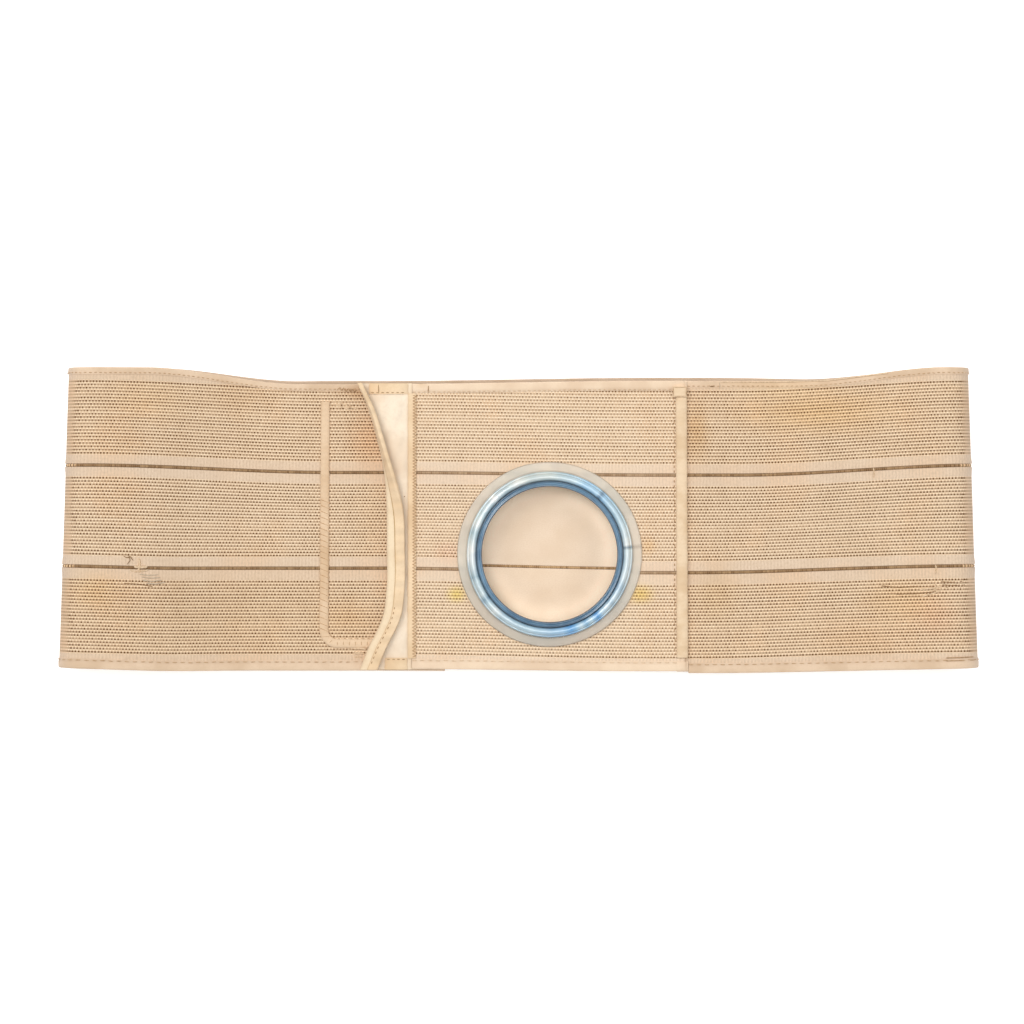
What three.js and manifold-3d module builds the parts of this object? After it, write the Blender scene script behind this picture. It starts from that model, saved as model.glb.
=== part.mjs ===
// An ostomy support belt, fastened into a loop and lying on its back, pressed almost flat.
// Millimetres. +X runs along the belt, +Y to its top edge and +Z up, away from the surface it lies on.
// The origin is under the middle of the belt, at the lowest point.
// Three elastic bands, joined edge to edge, run from the ring panel's right end round the back and come
// out under the closure tab. The ring panel holds the plastic ring that an ostomy pouch comes out through.
import * as THREE from "three";
import { mergeVertices } from "three/addons/utils/BufferGeometryUtils.js";
import Module from "manifold-3d";

const wasm = await Module();
wasm.setup();

// The belt as a whole
const beltHeight = 153;
const halfWidthBottom = 237;
const sideTaper = 5.2; // how much nearer the middle each folded end lies at the top edge
const foldRadius = 13; // of the folded ends, to the middle of the web
const hollowGap = 8; // between the two layers in the middle, web to web
const layShare = 0.67; // of the way from a fold's crest to the panel, where the front layer comes down
const layerShift = 2; // how much nearer the top edge the back layer lies in the middle

// Webbing, tape and thread
const webThickness = 1.8;
const seamGap = 1.6; // groove between two bands
const seamThickness = 1;
const bindingThickness = 0.8;
const bindingLeg = 4.5;
const fitGap = 0.2; // between any two pieces that touch

// Ring panel, measured from the middle of the belt
const panelLeft = -55;
const panelRight = 85.7;
const panelInsetTop = 0;
const panelInsetBottom = 1;
const underLap = 17; // of the wrap's other end under the panel

// Plastic ring
const ringOffset = 0.65; // right of the panel's middle
const ringMargin = 12.5; // from the belt's bottom edge to the flange
const openingRadius = 34.9;
const sleeveWall = 2;
const linerLip = 0.9;
const linerHeight = 3.4; // above the flange
const beadWidth = 4.7;
const beadHeight = 4.2;
const flangeWidth = 5;
const flangeThickness = 1.2;
const rearLipWidth = 6;
const rearLipThickness = 1.2;

// Closure tab, its rolled edge and its fastener
const tabLength = 29.2;
const tabThickness = 1.2;
const rollRadius = 1.9;
const rollToTape = 1.6; // flat stretch between the roll and the tape
const tabTapeThickness = 0.6;
const tabTapeLeg = 4.6;
const tabFlatMark = 0.7; // of the tab's flat stretch, where its faces have one more line
const jointStripWidth = 4.3;
const jointStripThickness = 0.7;
const hemHeight = 6;
const hemThickness = 0.7;
const fastenerReach = 9; // under the tab, past the panel's edge
const fastenerMargin = 12; // from the belt's edges

// Bound edge of the landing patch
const patchReach = 45.6; // from the panel's edge
const patchUnderTab = 17; // where it ends, from the panel's edge
const patchMarginTop = 9.3;
const patchMarginBottom = 13.2;
const patchCorner = 7;
const patchTapeWidth = 4.6;
const patchTapeThickness = 1.1;

// Bound seam at the panel's right end
const seamTapeWidth = 5.9;
const seamTapeOverlap = 1.8; // past the panel's edge
const seamTapeThickness = 1.7;
const seamTopMargin = 2.4; // from the panel's top edge
const seamEndMargin = 7.4; // from the belt's bottom edge
const foldedEndHeight = 5.6;
const foldedEndOverhang = 1.6; // past the tape, over the panel
const foldedEndThickness = 0.7;

// How finely curves are divided
const ringSides = 64;
const foldSteps = 12;
const frontSteps = 18;
const backSteps = 14;
const panelSteps = 10;
const acrossSteps = 6;
const rollSteps = 6;
const stepsPerTabRow = 3;
const cornerSteps = 6;
const beadSteps = 6;

// The lines that run along the belt. Each has a level at the folded ends and dips towards the middle, on the
// left and on the right by its own share of the belt's height. Going out, it climbs back from one share of
// the half width to another.
const lines = [
  { level: 0, left: { dip: 0.012, from: 0.72, to: 1.02 }, right: { dip: 0.02, from: 0.42, to: 1.08 } },
  { level: 0.338, left: { dip: 0.009, from: 0.72, to: 1.02 }, right: { dip: 0.024, from: 0.38, to: 0.98 } },
  { level: 0.676, left: { dip: 0.024, from: 0.4, to: 0.95 }, right: { dip: 0.033, from: 0.48, to: 1.02 } },
  { level: 1, left: { dip: 0.054, from: 0.48, to: 0.82 }, right: { dip: 0.0435, from: 0.62, to: 0.95 } },
];
const shiftEase = { from: 0.4, to: 0.95 }; // where the back layer's shift fades towards a fold
const crossing = 0.3; // share of the half width, to each side, over which the left dips become the right ones
const [bottomEdge, lowerSeam, upperSeam, topEdge] = lines.keys();

// The closure tab's free edge from its bottom corner to its top one: where along the height, how far the
// edge reaches as a share of tabLength, and how far it has rolled over as a share of half a turn.
const tabEdge = [
  { at: 0, reach: 0.92, turn: 0.97 },
  { at: 0.068, reach: 0.775, turn: 0.98 },
  { at: 0.173, reach: 0.52, turn: 1 },
  { at: 0.278, reach: 0.447, turn: 1 },
  { at: 0.404, reach: 0.447, turn: 1 },
  { at: 0.522, reach: 0.452, turn: 0.95 },
  { at: 0.621, reach: 0.472, turn: 0.76 },
  { at: 0.712, reach: 0.533, turn: 0.64 },
  { at: 0.805, reach: 0.642, turn: 0.6 },
  { at: 0.899, reach: 0.775, turn: 0.58 },
  { at: 1, reach: 0.98, turn: 0.54 },
];

const finishes = {
  web: { color: "#d3b189", roughness: 0.85 },
  panelWeb: { color: "#dcbd98", roughness: 0.85 },
  seam: { color: "#8a6a48", roughness: 0.9 },
  binding: { color: "#dcc0a0", roughness: 0.8 },
  tape: { color: "#ecd6ac", roughness: 0.75 },
  facing: { color: "#f0dfc8", roughness: 0.9 },
  clear: { color: "#d9dcd8", roughness: 0.25 },
  bead: { color: "#b9d3e2", roughness: 0.2 },
  liner: { color: "#47718f", roughness: 0.3 },
};

// Levels of the middles of the layers
const halfWeb = webThickness / 2;
const onWeb = halfWeb + fitGap; // from the middle of a web to what lies on it
const backLevel = onWeb + bindingThickness;
const crestLevel = backLevel + 2 * foldRadius;
const underLevel = backLevel + webThickness + hollowGap;
const panelLevel = underLevel + 2 * (onWeb + bindingThickness) + fitGap;
const lapLevel = panelLevel - webThickness - fitGap;

// Places along the belt
const foldX = halfWidthBottom - foldRadius - halfWeb;
const layRun = layShare * (foldX - panelRight);
const seamTapeRight = panelRight + seamTapeOverlap;
const seamTapeLeft = seamTapeRight - seamTapeWidth;
const wrapEnd = panelLeft + underLap;
const stripReach = jointStripWidth / 2;

// Heights on the belt, from its bottom edge
const heightOf = (line) => lines[line].level * beltHeight;
const panelBottom = panelInsetBottom;
const panelTop = beltHeight - panelInsetTop;
const boundEdge = fitGap + bindingThickness; // how far a binding sticks out past the web's edge
const halfGroove = seamGap / 2;
const bands = [
  { name: "bottom", from: heightOf(bottomEdge), to: heightOf(lowerSeam) - halfGroove },
  { name: "middle", from: heightOf(lowerSeam) + halfGroove, to: heightOf(upperSeam) - halfGroove },
  { name: "top", from: heightOf(upperSeam) + halfGroove, to: heightOf(topEdge) },
];
const seams = [
  { name: "lower", at: heightOf(lowerSeam) },
  { name: "upper", at: heightOf(upperSeam) },
];

const steps = (count) => Array.from({ length: count + 1 }, (_, i) => i / count);
const { lerp, smoothstep } = THREE.MathUtils;

// How much of a dip is left at a share of the half width from the middle.
const sagAt = (share, { from, to }) => 1 - smoothstep(Math.abs(share), from, to);

// Y of a line, at a share of the half width from the middle.
function lineY(line, share) {
  const { level, left, right } = lines[line];
  const dip = lerp(left.dip, right.dip, smoothstep(share, -crossing, crossing));
  const middle = (1 - lines[bottomEdge].right.dip) / 2;
  return beltHeight * (level - dip * sagAt(share, share < 0 ? left : right) - middle);
}

// Y of a height on the belt, which the lines carry with them.
function yAt(height, share) {
  const next = height < heightOf(lowerSeam) ? lowerSeam : height < heightOf(upperSeam) ? upperSeam : topEdge;
  const low = next - 1;
  const part = (height - heightOf(low)) / (heightOf(next) - heightOf(low));
  return lerp(lineY(low, share), lineY(next, share), part);
}

// A point by a layer: a station on the layer's middle line, with its x, z and outward direction, then a
// height on the belt and a distance outwards.
function place({ x, z, nx, nz }, height, out) {
  const share = x / halfWidthBottom;
  const taper = sideTaper * (height / beltHeight) * share * Math.abs(share);
  const shift = (layerShift * sagAt(share, shiftEase) * (1 - nz)) / 2;
  return new THREE.Vector3(x - taper + nx * out, yAt(height, share) + shift, z + nz * out);
}

const level = (x, z) => ({ x, z, nx: 0, nz: 1 });

// The front layer, from the crest of the fold on one side, -1 or 1, to x, where it lies at height z.
function frontStations(side, x, z) {
  const fall = crestLevel - z;
  return steps(frontSteps).map((part) => {
    const along = lerp(foldX, side * x, part);
    const run = Math.min(1, (foldX - along) / layRun);
    const slope = (6 * fall * run * (1 - run)) / layRun;
    const length = Math.hypot(1, slope);
    const drop = fall * run * run * (3 - 2 * run);
    return { x: side * along, z: crestLevel - drop, nx: (-side * slope) / length, nz: 1 / length };
  });
}

function foldStations(side) {
  return steps(foldSteps).map((part) => {
    const [nx, nz] = [side * Math.sin(part * Math.PI), Math.cos(part * Math.PI)];
    return { x: side * foldX + foldRadius * nx, z: backLevel + foldRadius * (1 + nz), nx, nz };
  });
}

const backStations = steps(backSteps).map((part) => {
  const x = lerp(foldX, -foldX, part);
  return { x, z: backLevel, nx: 0, nz: -1 };
});

// The whole wrap, from a start on the right, round the back, to its end under the panel on the left.
function wrapStations(start) {
  return [
    ...frontStations(1, start, lapLevel).reverse(),
    ...foldStations(1).slice(1),
    ...backStations.slice(1),
    ...foldStations(-1).reverse().slice(1),
    ...frontStations(-1, wrapEnd, underLevel).slice(1),
  ];
}

const panelStations = (from, to) => steps(panelSteps).map((part) => level(lerp(from, to, part), panelLevel));

// Geometry with its faces turned outwards.
function facingOut(points, triangles) {
  let volume = 0;
  for (const [a, b, c] of triangles) volume += points[a].dot(points[b].clone().cross(points[c]));
  const turned = volume < 0 ? triangles.map(([a, b, c]) => [a, c, b]) : triangles;
  return new THREE.BufferGeometry().setFromPoints(points).setIndex(turned.flat());
}

// The faces between sections that go round the same number of points, each split along its shorter diagonal.
function skin(points, sides) {
  const triangles = [];
  for (let i = 0; i < points.length - sides; i++) {
    const next = (i + 1) % sides ? i + 1 : i + 1 - sides;
    const [a, b, c, d] = [i, next, next + sides, i + sides];
    const straight = points[a].distanceTo(points[c]) <= points[b].distanceTo(points[d]);
    triangles.push(...(straight ? [[a, b, c], [a, c, d]] : [[a, b, d], [b, c, d]]));
  }
  return triangles;
}

// A closed section, given as [across, out] pairs, swept through a list of stations.
function sweep(section, stations, toPoint) {
  const outline = section.map(([across, out]) => new THREE.Vector2(across, out));
  if (THREE.ShapeUtils.isClockWise(outline)) outline.reverse();
  const points = stations.flatMap((station) => outline.map(({ x, y }) => toPoint(station, x, y)));
  const triangles = skin(points, outline.length);
  const last = points.length - outline.length;
  for (const [a, b, c] of THREE.ShapeUtils.triangulateShape(outline, []))
    triangles.push([c, b, a], [a + last, b + last, c + last]);
  return facingOut(points, triangles);
}

const slab = (from, to, low, high) => [[from, low], [to, low], [to, high], [from, high]];

// A tape folded over an edge: the web lies on the side of the edge that `inward`, 1 or -1, points to.
function foldedTape(edge, inward, leg, half, thickness) {
  const inner = half + fitGap;
  const outer = inner + thickness;
  const lip = edge + inward * leg;
  const back = edge - inward * fitGap;
  const rim = back - inward * thickness;
  const outside = [[lip, outer], [rim, outer], [rim, -outer], [lip, -outer]];
  return [...outside, [lip, -inner], [back, -inner], [back, inner], [lip, inner]];
}

const edgeTape = (edge, inward) => foldedTape(edge, inward, bindingLeg, halfWeb, bindingThickness);

// A section given by heights on the belt, along its length.
const alongBelt = (section, stations) => sweep(section, stations, place);

// A section given by places along the belt, across the panel or the tab from one height to another.
function acrossPanel(section, from, to) {
  const heights = steps(acrossSteps).map((part) => lerp(from, to, part));
  return sweep(section, heights, (height, x, out) => place(level(x, panelLevel), height, out));
}

function toSolid(geometry) {
  const bare = geometry.clone();
  bare.deleteAttribute("normal");
  bare.deleteAttribute("uv");
  const merged = mergeVertices(bare, 1e-4);
  return new wasm.Manifold(
    new wasm.Mesh({
      numProp: 3,
      vertProperties: new Float32Array(merged.attributes.position.array),
      triVerts: new Uint32Array(merged.index.array),
    }),
  );
}

function toGeometry(solid) {
  const { vertProperties, triVerts } = solid.getMesh();
  const geometry = new THREE.BufferGeometry();
  geometry.setAttribute("position", new THREE.BufferAttribute(vertProperties, 3));
  return geometry.setIndex(new THREE.BufferAttribute(triVerts, 1));
}

// The ring's radii, from the inside out, and its centre
const sleeveRadius = openingRadius + sleeveWall;
const linerRadius = sleeveRadius + linerLip;
const beadInner = linerRadius + fitGap;
const beadOuter = beadInner + beadWidth;
const flangeOuter = beadOuter + flangeWidth;
const ringX = (panelLeft + panelRight) / 2 + ringOffset;
const ringY = lineY(bottomEdge, ringX / halfWidthBottom) + ringMargin + flangeOuter;

// Cuts the round hole for the ring's sleeve through the panel.
function cutForRing(geometry) {
  const radius = sleeveRadius + fitGap;
  const drill = new THREE.CylinderGeometry(radius, radius, 2 * webThickness, ringSides);
  drill.rotateX(Math.PI / 2).translate(ringX, ringY, panelLevel);
  return toSolid(geometry).subtract(toSolid(drill));
}

// A ring turned from a profile of [radius, z] pairs, which goes round anticlockwise.
function turned(profile) {
  const points = [...profile, profile[0]].map(([radius, z]) => new THREE.Vector2(radius, z));
  return new THREE.LatheGeometry(points, ringSides).rotateX(Math.PI / 2).translate(ringX, ringY, 0);
}

const belt = new THREE.Group();

function add(name, geometry, finish) {
  const material = new THREE.MeshStandardMaterial({ ...finishes[finish], metalness: 0 });
  const mesh = new THREE.Mesh(geometry, material);
  mesh.name = name;
  belt.add(mesh);
}

function seamSection(at) {
  const half = halfGroove - fitGap;
  return slab(at - half, at + half, -seamThickness / 2, seamThickness / 2);
}

function addWrap() {
  const stations = wrapStations(seamTapeLeft);
  for (const { name, from, to } of bands)
    add(`wrap_band_${name}`, alongBelt(slab(from, to, -halfWeb, halfWeb), stations), "web");
  for (const { name, at } of seams) add(`wrap_seam_${name}`, alongBelt(seamSection(at), stations), "seam");
  const bound = wrapStations(seamTapeRight + fitGap);
  add("wrap_binding_bottom", alongBelt(edgeTape(0, 1), bound), "binding");
  add("wrap_binding_top", alongBelt(edgeTape(beltHeight, -1), bound), "binding");
}

function addPanel() {
  const stations = panelStations(panelLeft, panelRight);
  for (const { name, from, to } of bands) {
    const section = slab(Math.max(from, panelBottom), Math.min(to, panelTop), -halfWeb, halfWeb);
    add(`panel_band_${name}`, toGeometry(cutForRing(alongBelt(section, stations))), "panelWeb");
  }
  // A seam that meets the ring's hole goes on beyond it, as a second piece.
  for (const { name, at } of seams) {
    const pieces = cutForRing(alongBelt(seamSection(at), stations)).decompose();
    pieces.sort((a, b) => a.boundingBox().min[0] - b.boundingBox().min[0]);
    const places = ["", "_beyond_ring"];
    pieces.forEach((piece, i) => add(`panel_seam_${name}${places[i]}`, toGeometry(piece), "seam"));
  }
  const bound = panelStations(panelLeft, seamTapeLeft - fitGap);
  add("panel_binding_bottom", alongBelt(edgeTape(panelBottom, 1), bound), "binding");
  add("panel_binding_top", alongBelt(edgeTape(panelTop, -1), bound), "binding");
}

// The flange lies on the panel and the bead on the flange, both round the liner. The liner goes down
// through the panel and ends in a lip behind it.
function addRing() {
  const flangeBottom = panelLevel + onWeb;
  const flangeTop = flangeBottom + flangeThickness;
  const bevel = flangeThickness / 3;
  add("ring_flange", turned([
    [sleeveRadius + fitGap, flangeBottom],
    [flangeOuter, flangeBottom],
    [flangeOuter, flangeTop - bevel],
    [flangeOuter - bevel, flangeTop],
    [sleeveRadius + fitGap, flangeTop],
  ]), "clear");

  const seat = flangeTop + fitGap;
  const beadRadius = beadWidth / 2;
  const arch = steps(beadSteps).map((part) => [
    beadInner + beadRadius * (1 + Math.cos(part * Math.PI)),
    seat + beadHeight - beadRadius * (1 - Math.sin(part * Math.PI)),
  ]);
  add("ring_bead", turned([[beadInner, seat], [beadOuter, seat], ...arch]), "bead");

  const linerTop = flangeTop + linerHeight;
  const rearTop = panelLevel - onWeb;
  const rearBottom = rearTop - rearLipThickness;
  const rearRadius = sleeveRadius + rearLipWidth;
  const round = linerLip / 2;
  add("ring_liner", turned([
    [openingRadius, rearBottom],
    [rearRadius, rearBottom],
    [rearRadius, rearTop],
    [sleeveRadius, rearTop],
    [sleeveRadius, seat],
    [linerRadius, seat],
    [linerRadius, linerTop - round],
    [linerRadius - round, linerTop],
    [openingRadius + round, linerTop],
    [openingRadius, linerTop - round],
  ]), "liner");
}

// Sections of the tab, from its bottom corner to its top one. Each lies flat from the panel to where it
// bends up, rolls over, and ends in a straight stretch that the tape is folded over.
const tabRun = rollToTape + tabTapeLeg;
const tabCurve = new THREE.CatmullRomCurve3(
  tabEdge.map(({ at, reach, turn }) => new THREE.Vector3(at, reach, turn)),
);
const tabRows = tabCurve.getPoints(stepsPerTabRow * (tabEdge.length - 1));
const tabStations = tabRows.map(({ x: at, y: reach, z: turn }) => {
  const flat = tabLength * reach - fitGap - tabThickness / 2 - rollRadius;
  const angle = Math.PI * turn;
  const height = lerp(panelBottom - boundEdge, panelTop + boundEdge, THREE.MathUtils.clamp(at, 0, 1));
  return { height, flat, angle, end: flat + rollRadius * angle + tabRun };
});

// A point of the tab: at a station, a length along its section from the panel, and a distance outwards.
function tabPoint({ height, flat, angle, end }, along, out) {
  const bend = THREE.MathUtils.clamp((along - flat) / rollRadius, 0, angle);
  const [sin, cos] = [Math.sin(bend), Math.cos(bend)];
  const past = Math.max(0, along - (end - tabRun));
  const x = panelLeft - fitGap - Math.min(along, flat) - rollRadius * sin - past * cos;
  const z = panelLevel + rollRadius * (1 - cos) + past * sin;
  return place({ x, z, nx: sin, nz: cos }, height, out);
}

function addTab() {
  const half = tabThickness / 2;
  const alongs = tabStations.map(({ flat, end }) => {
    const bend = steps(rollSteps).map((part) => lerp(flat, end - tabRun, part));
    return [0, tabFlatMark * flat, ...bend, end - tabTapeLeg, end];
  });
  const points = tabStations.flatMap((station, i) => [
    ...alongs[i].map((along) => tabPoint(station, along, -half)),
    ...alongs[i].toReversed().map((along) => tabPoint(station, along, half)),
  ]);
  add("closure_tab", sheetSolid(points, 2 * alongs[0].length), "facing");

  const tape = foldedTape(0, -1, tabTapeLeg, half, tabTapeThickness);
  const taped = sweep(tape, tabStations, (station, past, out) => tabPoint(station, station.end + past, out));
  add("closure_tab_binding", taped, "tape");
}

// A sheet's solid from its sections, each going once round the sheet, with as many points on each side.
function sheetSolid(points, sides) {
  const triangles = skin(points, sides);
  const last = points.length - sides;
  for (let j = 0; j < sides / 2 - 1; j++) {
    const [a, b, c, d] = [j, j + 1, sides - 2 - j, sides - 1 - j];
    triangles.push([c, b, a], [d, c, a], [a + last, b + last, c + last], [a + last, c + last, d + last]);
  }
  return facingOut(points, triangles);
}

// The strip over the joint of tab and panel, and the tab's hems, from that strip to the rolled edge.
function addTabTrim() {
  const strip = slab(panelLeft - stripReach, panelLeft + stripReach, onWeb, onWeb + jointStripThickness);
  const ends = bindingLeg + fitGap;
  add("tab_joint_strip", acrossPanel(strip, panelBottom + ends, panelTop - ends), "tape");

  const onTab = tabThickness / 2 + fitGap;
  const taped = onTab + tabTapeThickness;
  const hems = { bottom: panelBottom - boundEdge, top: panelTop + boundEdge - hemHeight };
  for (const [name, from] of Object.entries(hems)) {
    const near = tabStations.filter(({ height }) => Math.abs(height - from - hemHeight / 2) < hemHeight);
    const reaches = near.flatMap((station) =>
      [-taped, taped].map((out) => tabPoint(station, station.end + taped, out).x),
    );
    const [left, right] = [Math.max(...reaches) + fitGap, panelLeft - stripReach - fitGap];
    const section = slab(left, right, onTab, onTab + hemThickness);
    add(`tab_hem_${name}`, acrossPanel(section, from, from + hemHeight), "tape");
  }
}

// The fastener holds the tab to the wrap, between the two.
function addFastener() {
  const low = underLevel + onWeb - panelLevel;
  const section = slab(panelLeft - fastenerReach, wrapEnd - fitGap, low, -onWeb);
  add("hook_fastener", acrossPanel(section, fastenerMargin, beltHeight - fastenerMargin), "facing");
}

// The tape round the landing patch: down its free side, round the lower corner and under the tab.
function addPatchBinding() {
  const left = panelLeft - patchReach;
  const cornerTop = patchMarginBottom + patchCorner;
  const side = steps(acrossSteps).map((part) => ({
    x: left,
    height: lerp(beltHeight - patchMarginTop, cornerTop, part),
    angle: 0,
  }));
  const corner = steps(cornerSteps).map((part) => {
    const angle = (part * Math.PI) / 2;
    const x = left + patchCorner * (1 - Math.cos(angle));
    return { x, height: cornerTop - patchCorner * Math.sin(angle), angle };
  });
  const end = { x: panelLeft - patchUnderTab, height: patchMarginBottom, angle: Math.PI / 2 };
  const half = patchTapeWidth / 2;
  const [low, shoulder, high] = [onWeb, onWeb + patchTapeThickness / 2, onWeb + patchTapeThickness];
  const foot = [[-half, low], [half, low]];
  const crown = [[half, shoulder], [half / 2, high], [-half / 2, high], [-half, shoulder]];
  const route = [...side, ...corner.slice(1), end];
  const tape = sweep([...foot, ...crown], route, ({ x, height, angle }, across, out) =>
    place(level(x + across * Math.cos(angle), underLevel), height + across * Math.sin(angle), out),
  );
  add("landing_patch_binding", tape, "binding");
}

// The raised tape over the panel's right end, with one leg down to the wrap, and its folded upper end.
function addSeamBinding() {
  const leg = panelRight + fitGap;
  const onWrap = lapLevel + onWeb - panelLevel;
  const top = onWeb + seamTapeThickness;
  const shoulder = onWeb + seamTapeThickness / 2;
  const round = seamTapeWidth / 4;
  const under = [[seamTapeLeft, onWeb], [leg, onWeb], [leg, onWrap], [seamTapeRight, onWrap]];
  const over = [
    [seamTapeRight, shoulder],
    [seamTapeRight - round, top],
    [seamTapeLeft + round, top],
    [seamTapeLeft, shoulder],
  ];
  const end = panelTop - seamTopMargin;
  add("panel_seam_binding", acrossPanel([...under, ...over], seamEndMargin, end), "tape");
  const [low, high] = [top + fitGap, top + fitGap + foldedEndThickness];
  const fold = slab(seamTapeLeft - foldedEndOverhang, seamTapeRight, low, high);
  add("panel_seam_folded_end", acrossPanel(fold, end - foldedEndHeight, end), "tape");
}

addWrap();
addPanel();
addRing();
addTab();
addTabTrim();
addFastener();
addPatchBinding();
addSeamBinding();

export default belt;
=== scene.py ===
"""Looks for an ostomy support belt that is fastened into a loop and lies pressed almost flat.

Every length in the tables and formulas is in millimetres, and becomes metres where a mesh is made. Along the
belt, a path gives stations on the middle of a layer of cloth. Across it, a height runs from the belt's bottom
edge, 0, to its top edge. Out is the distance from the middle of the layer, away from the wearer.
"""

import math

import bpy
import numpy as np
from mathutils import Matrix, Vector


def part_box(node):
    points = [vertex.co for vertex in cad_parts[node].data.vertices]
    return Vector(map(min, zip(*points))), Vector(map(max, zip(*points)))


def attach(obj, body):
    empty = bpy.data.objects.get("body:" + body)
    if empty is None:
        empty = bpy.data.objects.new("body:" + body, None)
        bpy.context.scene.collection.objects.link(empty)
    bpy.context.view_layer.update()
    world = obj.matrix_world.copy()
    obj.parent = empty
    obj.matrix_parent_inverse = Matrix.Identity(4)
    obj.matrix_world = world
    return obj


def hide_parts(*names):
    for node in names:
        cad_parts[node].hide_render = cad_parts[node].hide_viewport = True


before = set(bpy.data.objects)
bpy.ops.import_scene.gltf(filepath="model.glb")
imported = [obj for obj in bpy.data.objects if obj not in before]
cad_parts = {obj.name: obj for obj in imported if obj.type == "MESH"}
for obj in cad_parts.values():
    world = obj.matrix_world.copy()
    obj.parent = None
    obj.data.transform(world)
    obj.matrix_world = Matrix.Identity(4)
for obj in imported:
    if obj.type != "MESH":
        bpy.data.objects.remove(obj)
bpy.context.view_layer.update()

MM = 0.001
RANDOM = np.random.default_rng(7)

# The belt's form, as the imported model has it
BELT_HEIGHT = 153
SIDE_TAPER = 5.2
LAYER_SHIFT = 2
SHIFT_EASE = (0.4, 0.95)
CROSSING = 0.3
LAY_SHARE = 0.67
WEB = 1.8
GAP = 0.2
BINDING = 0.8
GROOVE = 1.6
PANEL_INSET_BOTTOM = 1
LINES = [
    {"level": 0, "left": (0.012, 0.72, 1.02), "right": (0.02, 0.42, 1.08)},
    {"level": 0.338, "left": (0.009, 0.72, 1.02), "right": (0.024, 0.38, 0.98)},
    {"level": 0.676, "left": (0.024, 0.4, 0.95), "right": (0.033, 0.48, 1.02)},
    {"level": 1, "left": (0.054, 0.48, 0.82), "right": (0.0435, 0.62, 0.95)},
]
LEVELS = [line["level"] * BELT_HEIGHT for line in LINES]
MIDDLE = (1 - LINES[0]["right"][0]) / 2


def node_box(name):
    """A node's lowest and highest corner, in millimetres."""
    return tuple(np.array(corner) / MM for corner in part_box(name))


# Levels and places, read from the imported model, and how far the wrap's ends go under the panel
LAP = 4.1
LAP_SHOWN = 2
UNDER_LAP = 17
HALF = WEB / 2
ON_WEB = HALF + GAP
BOUND = GAP + BINDING
wrap_low, wrap_high = node_box("wrap_band_bottom")
panel_low, panel_high = node_box("panel_band_bottom")
ring_low, ring_high = node_box("ring_flange")
HALF_WIDTH = wrap_high[0]
BACK_LEVEL = wrap_low[2] + HALF
CREST_LEVEL = wrap_high[2] - HALF
FOLD_RADIUS = (CREST_LEVEL - BACK_LEVEL) / 2
FOLD_X = HALF_WIDTH - HALF - FOLD_RADIUS
PANEL_LEVEL = (panel_low[2] + panel_high[2]) / 2
LAP_LEVEL = PANEL_LEVEL - WEB - GAP
UNDER_LEVEL = PANEL_LEVEL - 2 * (ON_WEB + BINDING) - GAP
PANEL_LEFT = panel_low[0]
PANEL_RIGHT = panel_high[0]
WRAP_START = PANEL_RIGHT - LAP
BOUND_START = PANEL_RIGHT + LAP_SHOWN
WRAP_END = PANEL_LEFT + UNDER_LAP
LAY_RUN = LAY_SHARE * (FOLD_X - PANEL_RIGHT)
PANEL_BOTTOM = PANEL_INSET_BOTTOM
PANEL_TOP = BELT_HEIGHT
RING_CENTRE = (ring_low[:2] + ring_high[:2]) / 2
FLANGE_OUTER = (ring_high[0] - ring_low[0]) / 2

# The weave: a pitch along the belt and one across it, each cell holding one small opening
PITCH_ALONG = 1.66
PITCH_ACROSS = 1.67
EDGE_ROWS = 23
MIDDLE_ROWS = 24


def smoothstep(x, low, high):
    t = np.clip((x - low) / (high - low), 0, 1)
    return t * t * (3 - 2 * t)


def bump(x, middle, half_width):
    """1 at the middle, falling smoothly to 0 at half_width from it."""
    return 1 - smoothstep(np.abs(x - middle), 0, half_width)


def line_y(line, share):
    """Y of one of LINES, at a share of the half width from the middle."""
    (left_dip, *left_ease), (right_dip, *right_ease) = line["left"], line["right"]
    dip = left_dip + (right_dip - left_dip) * smoothstep(share, -CROSSING, CROSSING)
    left = 1 - smoothstep(np.abs(share), *left_ease)
    right = 1 - smoothstep(np.abs(share), *right_ease)
    return BELT_HEIGHT * (line["level"] - dip * np.where(share < 0, left, right) - MIDDLE)


def y_at(height, share):
    """Y of a height on the belt, which the lines carry with them."""
    ys = [line_y(line, share) for line in LINES]
    parts = [
        ys[i] + (ys[i + 1] - ys[i]) * (height - LEVELS[i]) / (LEVELS[i + 1] - LEVELS[i]) for i in range(3)
    ]
    return np.where(height < LEVELS[1], parts[0], np.where(height < LEVELS[2], parts[1], parts[2]))


def taper(height, share):
    """How far the belt draws in towards its top, at a share of the half width from the middle."""
    return SIDE_TAPER * (height / BELT_HEIGHT) * share * np.abs(share)


# Slow waves of the front layer between the folds and the laps: how far they stand out, their length
# along the belt, their length across it, and a phase
WAVES = [(0.35, 96, 210, 0.4), (0.25, 57, 130, 2.1), (0.15, 31, 90, 4.0)]
WAVE_FREE = (112, 135)
SEAM_BULGE = 0.45
SEAM_BULGE_REACH = 6


def undulation(x, height, nx, nz):
    """How far the cloth stands out from the plain form: slow waves in front, and thick seams at the folds."""
    waves = sum(
        size * np.sin(2 * math.pi * (x / along + height / across) + phase)
        for size, along, across, phase in WAVES
    )
    free = smoothstep(np.abs(x), *WAVE_FREE) * (nz > 0) * np.clip(nz, 0, 1)
    seams = sum(bump(height, level, SEAM_BULGE_REACH) for level in LEVELS[1:3])
    return waves * free + SEAM_BULGE * seams * np.abs(nx) ** 2


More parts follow.
